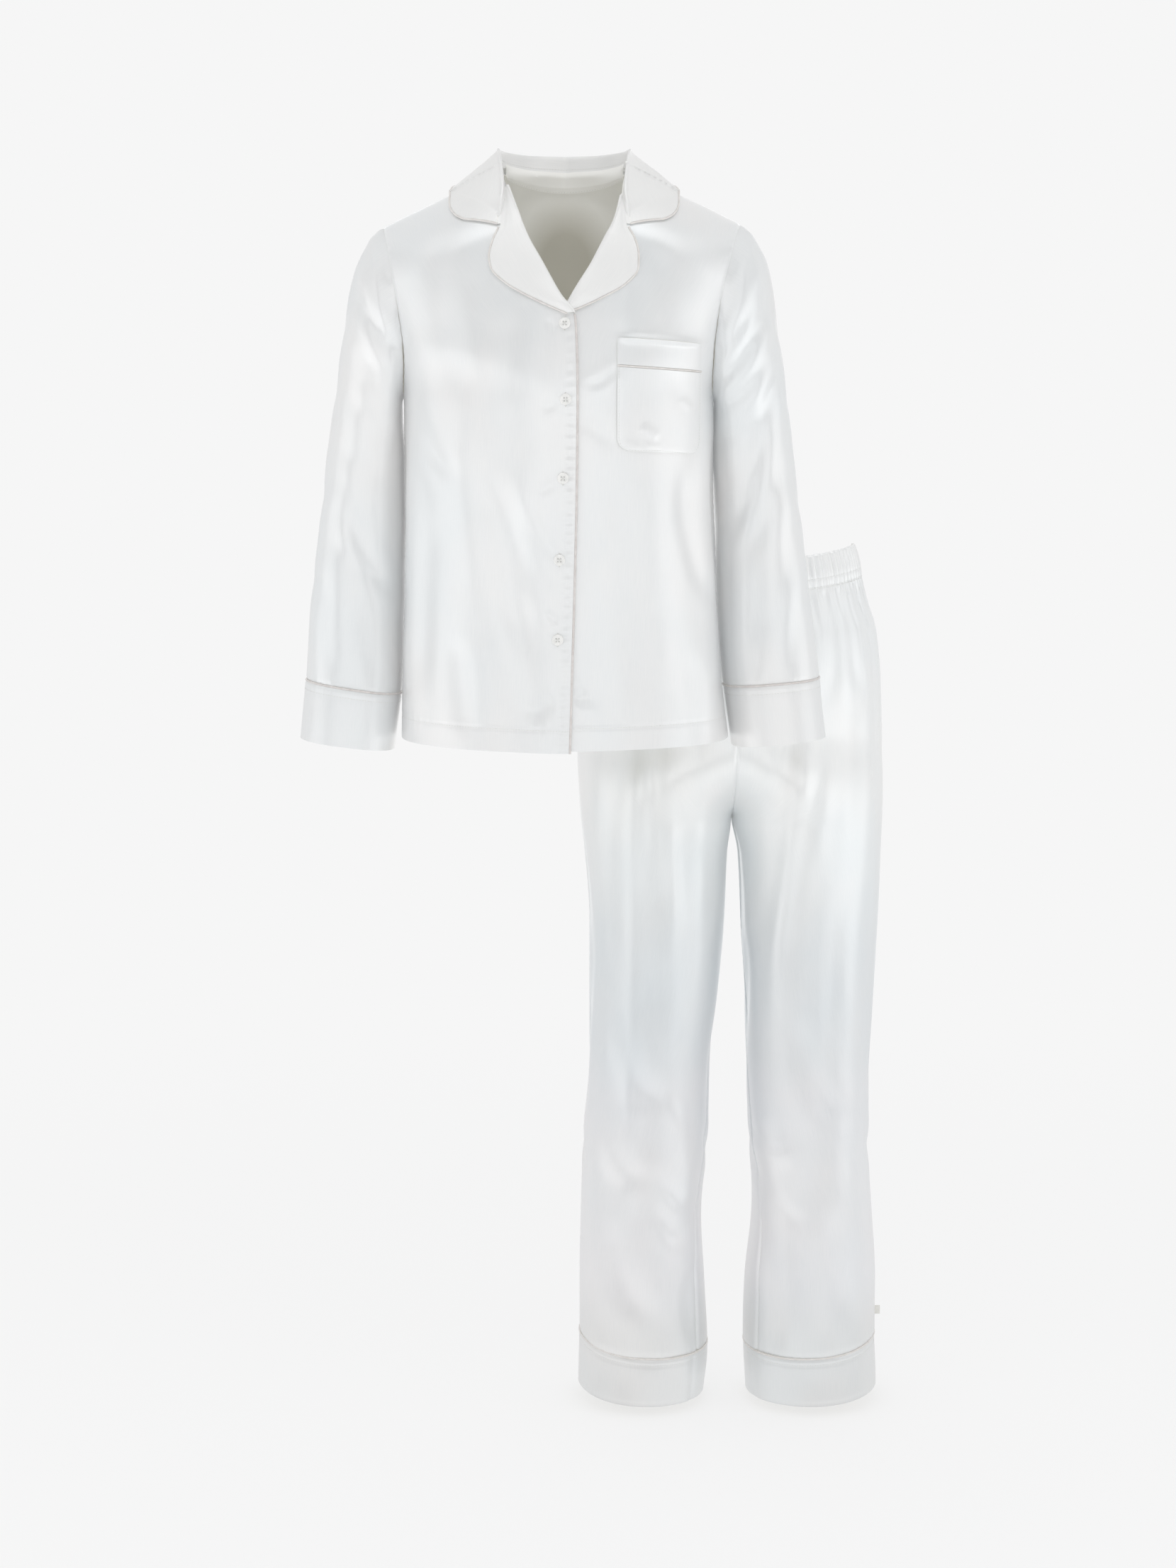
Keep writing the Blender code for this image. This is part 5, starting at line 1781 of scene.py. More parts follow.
@dataclass
class Collar:
    """The notched collar: a stand round the neck, and the leaf that falls from its fold."""

    torso: Torso
    clear: float = 2.6
    crown: float = 2.4
    full_stand: float = 20.0
    fold_radius: float = 2.2
    around: int = 190
    stand_steps: int = 9
    bend_steps: int = 6
    leaf_steps: int = 26
    form: Sections = field(default_factory=lambda: Sections(
        "q seam_x seam_y seam_z fold_x fold_y fold_z edge_x edge_y edge_z",
        (0.00, 67, -85, -66, 71, -86, -66, 106, -70, -62),
        (0.10, 66, -83, -60, 69.5, -86, -57, 115, -63, -57),
        (0.22, 64.5, -79, -50, 67.5, -84, -42, 122, -50, -45),
        (0.35, 63, -70, -37, 65, -77, -24, 124, -33, -31),
        (0.50, 64, -56, -22, 66.5, -58, -1, 124, -12, -21),
        (0.62, 67.5, -34, -7, 69.5, -30, 17, 119, 8, -16),
        (0.72, 70.5, -3, 0, 71.5, 4, 24, 112, 38, -21),
        (0.82, 61.5, 37, -3, 65.5, 42, 24.4, 93, 70, -29.5),
        (0.91, 35, 60, -8, 39, 68, 22.6, 52, 90, -35),
        (1.00, 0, 70, -10, 0, 78, 22, 0, 94, -37)))

    def half(self, side: Side) -> Grid:
        """Half the collar, from its notch to the middle of the back.

        Args:
            side: which half.

        Returns:
            Its points, a row for each place along the neck.
        """
        q = np.linspace(0, 1, self.around // 2)

        def place(name: str) -> Grid:
            """One line of the table, on this side."""
            x, y, z = [self.form.read(f"{name}_{axis}", q) for axis in "xyz"]
            return points_of(side.value * x, y, z)

        seam, fold, edge = place("seam"), place("fold"), place("edge")
        stand = np.linalg.norm(fold - seam, axis=-1, keepdims=True)
        rise = unit(fold - seam)
        radius = np.minimum(self.fold_radius, 0.3 * stand)
        away = unit((edge - fold) - rise * dot(edge - fold, rise)[:, None])
        top = fold - rise * radius
        lines = [mix(seam, top, k / self.stand_steps) for k in range(self.stand_steps)]
        for k in range(self.bend_steps + 1):
            turn = math.pi * k / self.bend_steps
            lines.append(top + away * radius * (1 - math.cos(turn))
                         + rise * radius * math.sin(turn))
        start = lines[-1]
        fullness = self.crown * np.minimum(stand / self.full_stand, 1)
        for k in range(1, self.leaf_steps + 1):
            share = k / self.leaf_steps
            crown = fullness * math.sin(math.pi * share)
            lines.append(mix(start, edge, share) + away * crown * 0.5 + crown * (0, 0, 1))
        return self.torso.clear(np.stack(lines, axis=1), self.clear)

    def skin(self) -> Skin:
        """The whole collar, from the right notch to the left one.

        Returns:
            The skin.
        """
        right, left = self.half(Side.RIGHT), self.half(Side.LEFT)
        points = np.concatenate([right, left[::-1][1:]])
        skin = Skin(points, points_of(points[..., 0], points[..., 1], 40.0))
        return skin.pressed(Unevenness(31, 0.5, (26, 26, 26)),
                            Seam(Edge.FAR, 4.5, 0.25, 1.4, 0.16, 7, 5))

    def build(self, shop: Workshop) -> Skin:
        """Makes the collar, its cord and its stitches.

        Args:
            shop: where the pieces are made.

        Returns:
            The collar's skin.
        """
        skin = self.skin()
        shop.cloth("collar_cloth", skin, "collar", (0.46, 0.105, 0.044), ("collar", "stand"), 1.1,
                   rests_on=["top_back", "top_front_right", "top_front_left"])
        points = skin.points
        start = self.stand_steps + self.bend_steps
        edge = np.concatenate([points[0, start:-1], points[:, -1], points[-1, start:-1][::-1]])
        inner = np.concatenate([points[4, start:-1], points[:, -5], points[-5, start:-1][::-1]])
        path = smoothed(beside(self.torso, edge, inner))
        cord = tube_mesh("collar_cord", evenly(path))
        shop.piece(cord, ["trim"], ["piping_collar"])
        shop.stitches("stand_stitches", self.inner_line(skin))
        return skin

    def inner_line(self, skin: Skin) -> tuple[Grid, Grid]:
        """The stitch line inside the neck, low on the stand.

        Args:
            skin: the collar's skin.

        Returns:
            The points, and the normals there.
        """
        keep = slice(self.around // 4, -self.around // 4)
        points, normals = skin.points[keep, 5], skin.normals()[keep, 5]
        return points + normals * 0.1, normals


@dataclass
class Lapel:
    """One lapel, the front's facing turned back over it at the roll line."""

    torso: Torso
    panels: TopPanels
    side: Side
    clear: float = 2.4
    rows: int = 84
    notch: float = 13.45
    full_width: float = 25.0
    across: Sections = field(default_factory=lambda: Sections(
        "step past share lift",
        (0.0, -2.4, 0.0, 0.4), (1.0, -2.6, 0.0, 1.8), (2.0, -1.8, 0.0, 3.4), (3.0, 0.0, 0.02, 4.6),
        (4.0, 0.0, 0.12, 5.2), (5.0, 0.0, 0.30, 5.3), (6.0, 0.0, 0.60, 4.2), (7.0, 0.0, 0.85, 3.0),
        (8.0, 0.0, 1.0, 2.4)))

    def outline(self) -> Sections:
        """The outer edge, by the front's rows.

        Returns:
            The table.
        """
        if self.side is Side.RIGHT:
            return Sections("row x z", (10.15, 4, -161), (10.5, -16, -152.5), (11, -42, -139.5),
                            (11.5, -64, -126), (12, -77, -112), (12.5, -79, -99), (13, -75, -83),
                            (13.5, -68, -67), (14, -66.5, -54), (14.5, -65.5, -40),
                            (14.9, -66, -28))
        return Sections("row x z", (10.35, 7, -158), (10.7, 22, -152), (11, 40, -143.5),
                        (11.5, 66, -128.5), (12, 79, -112), (12.5, 79, -97), (13, 75, -81),
                        (13.5, 67.5, -66.5), (14, 66.5, -55), (14.4, 65.5, -44), (14.8, 66, -33))

    def skin(self) -> Skin:
        """The lapel's skin, from the break of the roll up to the collar.

        Returns:
            The skin.
        """
        table, roll = self.outline(), self.panels.front_edges[self.side]
        row = np.linspace(table.keys[0], table.keys[-1], self.rows)
        x0, z0 = roll.read("x", row), roll.read("z", row)
        run_x, run_z = table.read("x", row) - x0, table.read("z", row) - z0
        length = np.hypot(run_x, run_z)[:, None]
        narrow = np.minimum(length / self.full_width, 1)
        step = np.concatenate([np.linspace(0, 4, 14)[:-1], np.linspace(4, 8, 22)])[None]
        past, share = self.across.read("past", step), self.across.read("share", step)
        lift = self.across.read("lift", step)
        lift = np.where(step > 3, mix(self.clear + 0.4, lift, narrow), lift)
        x = x0[:, None] + run_x[:, None] * (past / length + share)
        z = z0[:, None] + run_z[:, None] * (past / length + share)
        raised = self.panels.lap(points_of(x, 0 * x, z), self.side)
        points = self.torso.on(x, z, Face.FRONT, lift + raised)
        skin = Skin(points, np.array([0.0, -1.0, 0.0]))
        return skin.pressed(Unevenness(33, 0.5, (24, 24, 24)),
                            Seam(Edge.FAR, 4.5, 0.2, 1.4, 0.15, 7, 5))

    def build(self, shop: Workshop) -> None:
        """Makes the lapel and its cord.

        Args:
            shop: where the pieces are made.
        """
        word = self.side.word
        skin = self.skin()
        cut = (0.09, 0.16, 0.0060) if self.side is Side.RIGHT else (0.08, 0.13, 0.0046)
        shop.cloth(f"lapel_cloth_{word}", skin, f"lapel_{word}", cut, ("collar", "stand"),
                   rests_on=[f"top_front_{word}"])
        table = self.outline()
        row = np.linspace(table.keys[0], table.keys[-1], self.rows)
        kept = row < self.notch
        path = smoothed(beside(self.torso, skin.points[kept, -1], skin.points[kept, -4]))
        cord = tube_mesh(f"lapel_cord_{word}", evenly(path))
        shop.piece(cord, ["trim"], [f"piping_lapel_{word}"])


@dataclass
class NeckFacing:
    """The strip that covers the neck seam inside the back."""

    height: float = 8.0
    depth: float = 2.1
    reach: float = 65.0
    stand_rows: int = 4
    off: float = 0.9
    back_reach: float = 76.0
    back_start: float = 4.0
    columns: int = 96
    drops: int = 7
    stitch: float = 1.6

    def build(self, shop: Workshop, back: Skin, collar: Skin) -> None:
        """Makes the strip over the neck seam, from the stand down the back, and its stitch line.

        Args:
            shop: where the pieces are made.
            back: the back's skin.
            collar: the collar's skin.
        """
        x = np.linspace(-self.reach, self.reach, self.columns)

        def read(line: Grid) -> Grid:
            """The points of a line over x.

            Args:
                line: the points of the line.

            Returns:
                The points read.
            """
            behind = (np.abs(line[:, 0]) < self.back_reach) & (line[:, 1] > self.back_start)
            line = line[behind]
            line = line[np.argsort(line[:, 0])]
            return read_along(line, line[:, 0], x)

        on_stand = collar.points + collar.normals() * self.off
        rows = [read(on_stand[:, row]) for row in range(self.stand_rows, 0, -1)]
        inside = back.points - back.normals() * self.depth
        base = read(inside[0])
        down = unit(read(inside[3]) - base)
        rows += [base + down * drop for drop in np.linspace(0.5, self.height, self.drops)]
        points = np.stack(rows)
        skin = Skin(points, -points * (1, 1, 0))
        shop.cloth("neck_strip", skin, "neck_facing", (0.17, 0.021, 0.0034), ("strip", "strip"),
                   0.7, rests_on=["top_back"])
        shop.stitches("neck_stitches", skin.trace(Edge.BOTTOM, self.stitch))


# ------------------------------------------------------------------ pocket, buttons and front cord


@dataclass
class Pocket:
    """The chest pocket with its mouth band and the cord between them."""

    torso: Torso
    panels: TopPanels
    left: float = 57.0
    right: float = 147.0
    top: float = -187.0
    tilt: float = -0.055
    band: float = 28.0
    depth: float = 119.0
    corner: float = 13.0
    lift: float = 2.3
    seam: float = 2.7
    mouth_swell: float = 3.2
    mouth_reach: float = 8.0
    edge_sink: float = 0.7
    edge_reach: float = 2.2
    columns: int = 48
    stitch: float = 2.0

    def places(self, across: Array, down: Array, lift: Array | float) -> Grid:
        """Points by the share across and the distance below the mouth.

        Args:
            across: shares from the inner to the outer edge.
            down: distances below the mouth.
            lift: heights over the front.

        Returns:
            The points.
        """
        x = mix(self.left, self.right, across)
        z = self.top - down + self.tilt * (x - self.left)
        base = self.torso.on(x, z, Face.FRONT)
        normals = self.torso.normal(self.torso.angle(x, z), z, Face.FRONT)
        sunk = self.panels.sunk(base, normals, self.panels.uneven)
        return base + normals * (lift - sunk)[..., None]

    def patch(self, start: float, end: float, rows: int) -> Skin:
        """A stretch of the pocket, between two distances below the mouth.

        Args:
            start: the first distance.
            end: the last one.
            rows: how many rows it has.

        Returns:
            The skin.
        """
        wide = self.right - self.left
        down = np.linspace(start, end, rows)[:, None]
        low = np.clip(down - (self.depth - self.corner), 0, self.corner)
        inset = (self.corner - np.sqrt(np.maximum(self.corner**2 - low**2, 0.0))) / wide
        across = mix(inset, 1 - inset, np.linspace(0, 1, self.columns)[None])
        mouth = (self.mouth_swell * np.exp(-down / self.mouth_reach)
                 * np.sin(math.pi * across) ** 0.7)
        rest = np.exp(-np.minimum(across, 1 - across) * wide / self.edge_reach)
        rest = np.maximum(rest, np.exp(-(self.depth - down) / self.edge_reach))
        lift = self.lift + mouth - self.edge_sink * rest + 0 * across
        points = self.places(across, down + 0 * across, lift)
        return Skin(points, np.array([0.0, -1.0, 0.0]))

    def build(self, shop: Workshop) -> None:
        """Makes the band, the bag, the cord and the stitches round the edge.

        Args:
            shop: where the pieces are made.
        """
        band = self.patch(0.0, self.band, 18).pressed(Seam(Edge.TOP, 0, 0, 2, 0.25, 22, 7))
        shop.cloth("pocket_mouth", band, "pocket_band", (0.10, 0.034, 0.0028), wall=1.3,
                   rests_on=["top_front_left"])
        start = self.band + self.seam
        creases = (
            *drawn(View.FRONT, Roll.SOFT, (84, -283, 101, -293, 6, -1.3, -1),
                   (88, -301, 104, -303, 4, -0.7), (128, -252, 138, -262, 5, -0.7),
                   (64, -299, 82, -304, 5, -0.5)),
            *drawn(View.FRONT, Roll.BANKED, (112, -222, 136, -262, 8, 0.5)))
        bag = self.patch(start, self.depth, 56).pressed(*creases)
        shop.cloth("pocket_bag", bag, "pocket", (0.10, 0.10, 0.0095), rests_on=["top_front_left"])
        across = np.linspace(0.0, 1.0, 60)
        down = np.full_like(across, self.band + self.seam / 2)
        path = self.places(across, down, np.full_like(across, self.lift - 0.6))
        cord = tube_mesh("pocket_cord", path)
        shop.piece(cord, ["trim"], ["piping_pocket"])
        near, low, far = [bag.trace(edge, self.stitch)
                          for edge in (Edge.NEAR, Edge.BOTTOM, Edge.FAR)]
        path, ways = [np.concatenate([near[n][:-3], low[n][3:-3], far[n][:-3][::-1]])
                      for n in range(2)]
        shop.stitches("pocket_stitches", (path, ways))


@dataclass
class Buttons:
    """The five shell buttons of the front, sewn on through four holes."""

    torso: Torso
    panels: TopPanels
    radius: float = 6.3
    thick: float = 2.4
    hole: float = 0.8
    pitch: float = 1.5
    lift: float = 0.5
    thread: float = 0.34
    slit: float = 7.3
    slit_cord: float = 0.55
    places: tuple[tuple[float, float], ...] = (
        (1, -172), (2, -252), (-1, -336), (-5, -424), (-7, -511))

    def disc(self) -> bpy.types.Mesh:
        """The turned button with its holes cut through.

        Returns:
            The mesh.
        """
        t = self.thick
        profile = ((0.0, 0.52 * t), (0.40, 0.54 * t), (0.54, 0.60 * t), (0.66, 0.86 * t),
                   (0.76, 0.98 * t), (0.86, 0.99 * t), (0.95, 0.86 * t), (1.0, 0.62 * t),
                   (0.98, 0.36 * t), (0.88, 0.12 * t), (0.74, 0.0), (0.0, 0.0))
        made = bmesh.new()
        verts = [made.verts.new((share * self.radius * MM, 0, height * MM))
                 for share, height in profile]
        for first, second in zip(verts, verts[1:]):
            made.edges.new((first, second))
        bmesh.ops.spin(made, geom=made.verts[:] + made.edges[:], cent=(0, 0, 0), axis=(0, 0, 1),
                       angle=2 * math.pi, steps=44, use_merge=True)
        bmesh.ops.remove_doubles(made, verts=made.verts[:], dist=1e-6)
        bmesh.ops.recalc_face_normals(made, faces=made.faces[:])
        blank = added("button_blank", taken(made, "button_disc"))
        drills = bmesh.new()
        for x in (-1, 1):
            for y in (-1, 1):
                place = Matrix.Translation((x * self.pitch * MM, y * self.pitch * MM, 0))
                bmesh.ops.create_cone(drills, cap_ends=True, segments=14, radius1=self.hole * MM,
                                      radius2=self.hole * MM, depth=4 * t * MM, matrix=place)
        drill = added("button_drill", taken(drills, "button_drill"))
        cut = blank.modifiers.new("holes", "BOOLEAN")
        cut.operation = "DIFFERENCE"
        cut.object = drill
        bpy.context.view_layer.update()
        drilled = blank.evaluated_get(bpy.context.evaluated_depsgraph_get())
        result = bpy.data.meshes.new_from_object(drilled)
        for helper in (blank, drill):
            bpy.data.objects.remove(helper, do_unlink=True)
        result.materials.clear()
        result.shade_smooth()
        result.set_sharp_from_angle(angle=BUTTON_SHARP)
        return result

    def sewing(self) -> Grid:
        """The thread's path through the holes, crossing on the button's face.

        Returns:
            The points, in the button's own millimetres.
        """
        p, high, low = self.pitch, self.thick * 0.62, self.thick * 0.1
        corners = ((-p, -p), (p, p), (p, -p), (-p, p))
        path = []
        for (x0, y0), (x1, y1) in (corners[:2], corners[2:]):
            path += [(x0, y0, low), (x0, y0, high * 0.9)]
            path += [(mix(x0, x1, s), mix(y0, y1, s), high + 0.35 * math.sin(math.pi * s))
                     for s in (0.2, 0.35, 0.5, 0.65, 0.8)]
            path += [(x1, y1, high * 0.9), (x1, y1, low)]
        return np.array(path)

    def build(self, shop: Workshop) -> None:
        """Makes each button, its thread and its buttonhole.

        Args:
            shop: where the pieces are made.
        """
        disc = self.disc()
        for number, (x, z) in enumerate(self.places, 1):
            base = self.torso.on(np.array([[float(x)]]), np.array([[float(z)]]), Face.FRONT)
            normal = self.torso.normal(self.torso.angle(base[..., 0], base[..., 2]),
                                       base[..., 2], Face.FRONT)
            sink = self.panels.sunk(base, normal)[0, 0]
            place = base[0, 0] + normal[0, 0] * (self.panels.lap_lift + self.lift - sink)
            turn = Vector(normal[0, 0]).to_track_quat("Z", "Y").to_matrix().to_4x4()
            where = Matrix.Translation(Vector(place) * MM) @ turn
            self.one(shop, number, disc, where)

    def one(self, shop: Workshop, number: int, disc: bpy.types.Mesh, where: Matrix) -> None:
        """Makes one button at its place.

        Args:
            shop: where the pieces are made.
            number: the button's number, from the top.
            disc: the drilled disc.
            where: its place and turn.
        """
        mesh = disc.copy()
        mesh.name = f"shell_button_{number}"
        mesh.transform(where)
        shop.piece(mesh, ["pearl"], [f"button_{number}"])
        thread = tube_mesh(f"button_thread_{number}", self.sewing(), self.thread, 6)
        thread.transform(where)
        shop.piece(thread, ["thread"])
        turn = circle(40)
        loop = points_of(1.3 * np.cos(turn), self.slit * np.sin(turn), -0.25 + 0 * turn)
        hole = tube_mesh(f"buttonhole_{number}", loop, self.slit_cord, 6, closed=True,
                         up=np.broadcast_to(np.array([0.0, 0.0, 1.0]), loop.shape))
        hole.transform(where)
        shop.piece(hole, ["thread"])


@dataclass
class FrontCord:
    """The cord down the right front's edge."""

    radius: float = 1.25
    step: float = 2.5
    top: float = -162.0

    def build(self, shop: Workshop, torso: Torso, front: Skin) -> None:
        """Makes the cord from the break of the lapel to the hem.

        Args:
            shop: where the pieces are made.
            torso: the form under it.
            front: the right front's skin.
        """
        edge, inner = front.points[:, 0], front.points[:, 12]
        low = edge[:, 2] < self.top
        path = smoothed(beside(torso, edge[low], inner[low]))
        cord = tube_mesh("front_cord", evenly(path, self.step), self.radius)
        shop.piece(cord, ["cord"], ["piping_front"])


# ------------------------------------------------------------------ trousers


@dataclass
class Trousers:
    """The trousers: four leg panels, the gathered waistband and the hem bands."""

    centre_x: float = 203.0
    centre_y: float = 245.0
    split_top: float = -640.0
    crotch: float = -757.0
    waist_seam: float = -462.0
    waist_top: float = -422.0
    front_dip: float = 16.0
    back_dip: float = 30.0
    dip_end: float = -560.0
    dip_fade: float = 90.0
    band_seam: float = -1427.0
    hem: float = -1488.0
    squareness: float = 2.15
    gathers: int = 24
    gather_depth: float = 3.4
    unevenness: float = 0.25
    inseam_turn: float = math.radians(34)
    inseam_start: float = -900.0
    inseam_end: float = -1400.0
    gap: float = 1.6
    band_stitch: float = 7.5
    waist_lines: tuple[float, float] = (11.5, 1.5)
    gather_end: float = -530.0
    waist_rows: int = 34
    waistband_rows: int = 26
    band_columns: int = 56
    leg_rows: int = 160
    columns: int = 98
    fine_fade: float = 16.0
    wide_gathers: int = 26
    wide_depth: float = 2.8
    wide_start: float = 12.0
    wide_fade: float = 40.0
    behind_share: float = 0.8
    legs: dict[Side, Sections] = field(default_factory=lambda: {
        Side.RIGHT: Sections(
            "z outer inner", (-422, 150, 0), (-462, 157, 0), (-490, 165, 0), (-525, 178, 0),
            (-600, 189, 0), (-680, 191, 0), (-757, 187, 0), (-801, 182, 5), (-890, 176, 9),
            (-980, 176, 16), (-1070, 177, 25), (-1161, 183, 28), (-1253, 187, 35),
            (-1345, 188, 30), (-1430, 188, 26), (-1488, 189, 30)),
        Side.LEFT: Sections(
            "z outer inner", (-422, 148, 0), (-462, 157, 0), (-490, 164, 0), (-525, 175, 0),
            (-600, 183, 0), (-668, 186, 0), (-757, 185, 0), (-801, 183, 8), (-890, 180, 13),
            (-980, 177, 18), (-1070, 174, 20), (-1161, 174, 24), (-1253, 180, 29),
            (-1345, 184, 22), (-1430, 185, 20), (-1488, 188, 23))})
    seat: Sections = field(default_factory=lambda: Sections(
        "z front back", (-422, 96, 100), (-462, 99, 105), (-530, 110, 121), (-600, 114, 126),
        (-680, 115, 124), (-757, 107, 113), (-850, 98, 104), (-1000, 90, 95), (-1200, 84, 88),
        (-1488, 80, 84)))
    hem_rise: Sections = field(default_factory=lambda: Sections(
        "z rise", (-1310, 0), (-1400, 11), (-1428, 14), (-1488, 9)))
    rise_power: float = 3.5
    right_folds: tuple[Crease, ...] = drawn(
        View.FRONT, Roll.SOFT, (86, -660, 76, -1180, 15, -2.5), (104, -640, 99, -1200, 15, 3),
        (152, -640, 146, -960, 15, 4), (140, -1270, 178, -1310, 16, -2))
    left_folds: tuple[Crease, ...] = drawn(
        View.FRONT, Roll.SOFT, (287, -660, 252, -980, 13, -3.5), (262, -640, 240, -900, 14, 3.5),
        (330, -700, 318, -1150, 18, 4), (232, -1130, 262, -1180, 16, -2))
    front_creases: tuple[Crease, ...] = (
        *drawn(View.FRONT, Roll.BANKED, (60, -680, 52, -900, 12, 2.0, 5),
               (128, -1100, 146, -1230, 10, -1.8, -6), (124, -1204, 166, -1244, 7, 1.2, 6),
               (116, -1240, 156, -1292, 8, 1.0, 6), (60, -1010, 110, -1100, 16, 1.8, 10),
               (40, -1120, 82, -1200, 16, 1.5, 10), (54, -1260, 90, -1370, 15, 1.4, 6),
               (150, -1330, 160, -1410, 9, 1.8, 4), (300, -700, 268, -940, 9, 2.0, 6),
               (352, -620, 344, -860, 11, 1.8, -4), (226, -1138, 258, -1162, 7, 1.1, 4),
               (230, -1180, 276, -1250, 10, 1.1, 6), (286, -1010, 330, -1120, 16, 1.6, 8),
               (250, -1300, 262, -1410, 10, 1.7, -4), (330, -1250, 344, -1370, 13, 1.4, 4),
               (340, -500, 350, -590, 8, 1.6, 3), (318, -500, 314, -600, 9, 1.4, -3)),
        *drawn(View.FRONT, Roll.SOFT, (95, -655, 117, -880, 8, 2.0), (134, -650, 140, -850, 9, 1.8),
               (176, -670, 170, -900, 12, 1.6, -3), (226, -670, 236, -900, 12, 1.8, 3),
               (350, -474, 371, -545, 4, 1.5, 3), (371, -545, 374, -720, 4, 1.5)))
    back_creases: tuple[Crease, ...] = drawn(
        View.BACK, Roll.BANKED, (76, -700, 96, -1000, 13, 3, 8), (330, -700, 312, -1000, 13, 3, -8),
        (150, -820, 120, -940, 11, 3, 6), (256, -820, 288, -946, 11, 3, -6),
        (180, -760, 110, -830, 10, 2.6, 8), (226, -760, 296, -836, 10, 2.6, -8),
        (60, -1130, 140, -1180, 11, 2.4, 8), (346, -1120, 268, -1176, 11, 2.4, -8),
        (70, -1200, 150, -1240, 10, 2.0, 6), (340, -1196, 262, -1240, 10, 2.0, -6),
        (92, -1280, 104, -1410, 14, 1.8, 4), (312, -1280, 300, -1410, 14, 1.8, -4),
        (130, -520, 140, -700, 15, 2, 4), (276, -520, 268, -700, 15, 2, -4))
    side_creases: tuple[Crease, ...] = (
        *drawn(View.LEFT, Roll.BANKED, (230, -620, 262, -900, 13, 2.0, 6),
               (276, -900, 226, -1100, 13, 1.8, 6), (210, -1150, 282, -1200, 11, 1.8, 6)),
        *drawn(View.RIGHT, Roll.BANKED, (262, -620, 230, -900, 13, 2.0, 6),
               (216, -910, 268, -1100, 13, 1.8, 6), (282, -1150, 210, -1206, 11, 1.8, 6)))

    def crotch_turn(self, z: Array) -> Array:
        """The turn at which a leg's ring meets the middle line: a quarter above, none below."""
        return np.arccos(ease((self.split_top - z) / (self.split_top - self.crotch)) ** 1.15)

    def inseam(self, z: Array) -> Array:
        """Where the inseam lies on the ring: its inner edge above, towards the front below."""
        share = (z - self.inseam_start) / (self.inseam_end - self.inseam_start)
        return self.inseam_turn * ease(share)

    def turns(self, z: Array, face: Face, shares: Array) -> Array:
        """Turns of a panel's points, from the inner seam to the outer one.

        Args:
            z: the heights.
            face: front or back.
            shares: the shares from the inner seam outwards.

        Returns:
            The turns.
        """
        low = self.inseam(z) * (1 if face is Face.FRONT else -1)
        inner = np.where(z > self.crotch, self.crotch_turn(z), low)
        return mix(inner[:, None], math.pi, shares[None])

    def leg(self, turn: Array, z: Array, side: Side, face: Face,
            relief: Array | float = 0.0) -> Grid:
        """The skin of a leg, by the turn from its inner edge (0) to its outer one (pi).

        Args:
            turn: the turns.
            z: the heights.
            side: which leg.
            face: front or back.
            relief: how far the points stand out from the plain form.

        Returns:
            The points.
        """
        table = self.legs[side]
        outer, inner = table.read("outer", z), table.read("inner", z)
        power = 2 / self.squareness
        cosine, sine = np.cos(turn), np.sin(turn)
        along = np.copysign(np.abs(cosine) ** power, cosine)
        meet = np.cos(self.crotch_turn(z)) ** power
        wide = (outer - inner) / (1 + meet)
        x = self.centre_x + side.value * (inner + wide * (meet - along))
        facing = np.where(turn < 0, Face.FRONT.value, face.value)
        front = facing < 0
        deep = np.where(front, self.seat.read("front", z), self.seat.read("back", z))
        y = self.centre_y + facing * deep * np.abs(sine) ** power
        rise = self.hem_rise.read("rise", z) * ((1 - cosine) / 2) ** self.rise_power
        return points_of(x - side.value * relief * cosine, y + facing * relief * np.abs(sine),
                         z + rise)

    def gather(self, place: Array, fullness: Array | float) -> Array:
        """Depth of the gathers along a quarter of the waist, at a number of half gathers.

        Args:
            place: the number of half gathers from its start.
            fullness: how deep the gathers are.

        Returns:
            How far the cloth stands out, under 0 for inwards.
        """
        vary = np.sin(2.4 * place) * np.cos(math.pi * place / self.gathers)
        even = 1 - self.unevenness + self.unevenness * vary
        return -fullness * even * (0.5 + 0.5 * np.cos(math.pi * place)) ** 1.8

    def dip(self, turn: Array, face: Face) -> Array:
        """How much lower than at the side the waist lies.

        Args:
            turn: the turns.
            face: front or back.

        Returns:
            The drops.
        """
        if face is Face.FRONT:
            return self.front_dip * np.sin(turn) ** 2
        return self.back_dip * np.abs(np.sin(turn)) ** 1.1

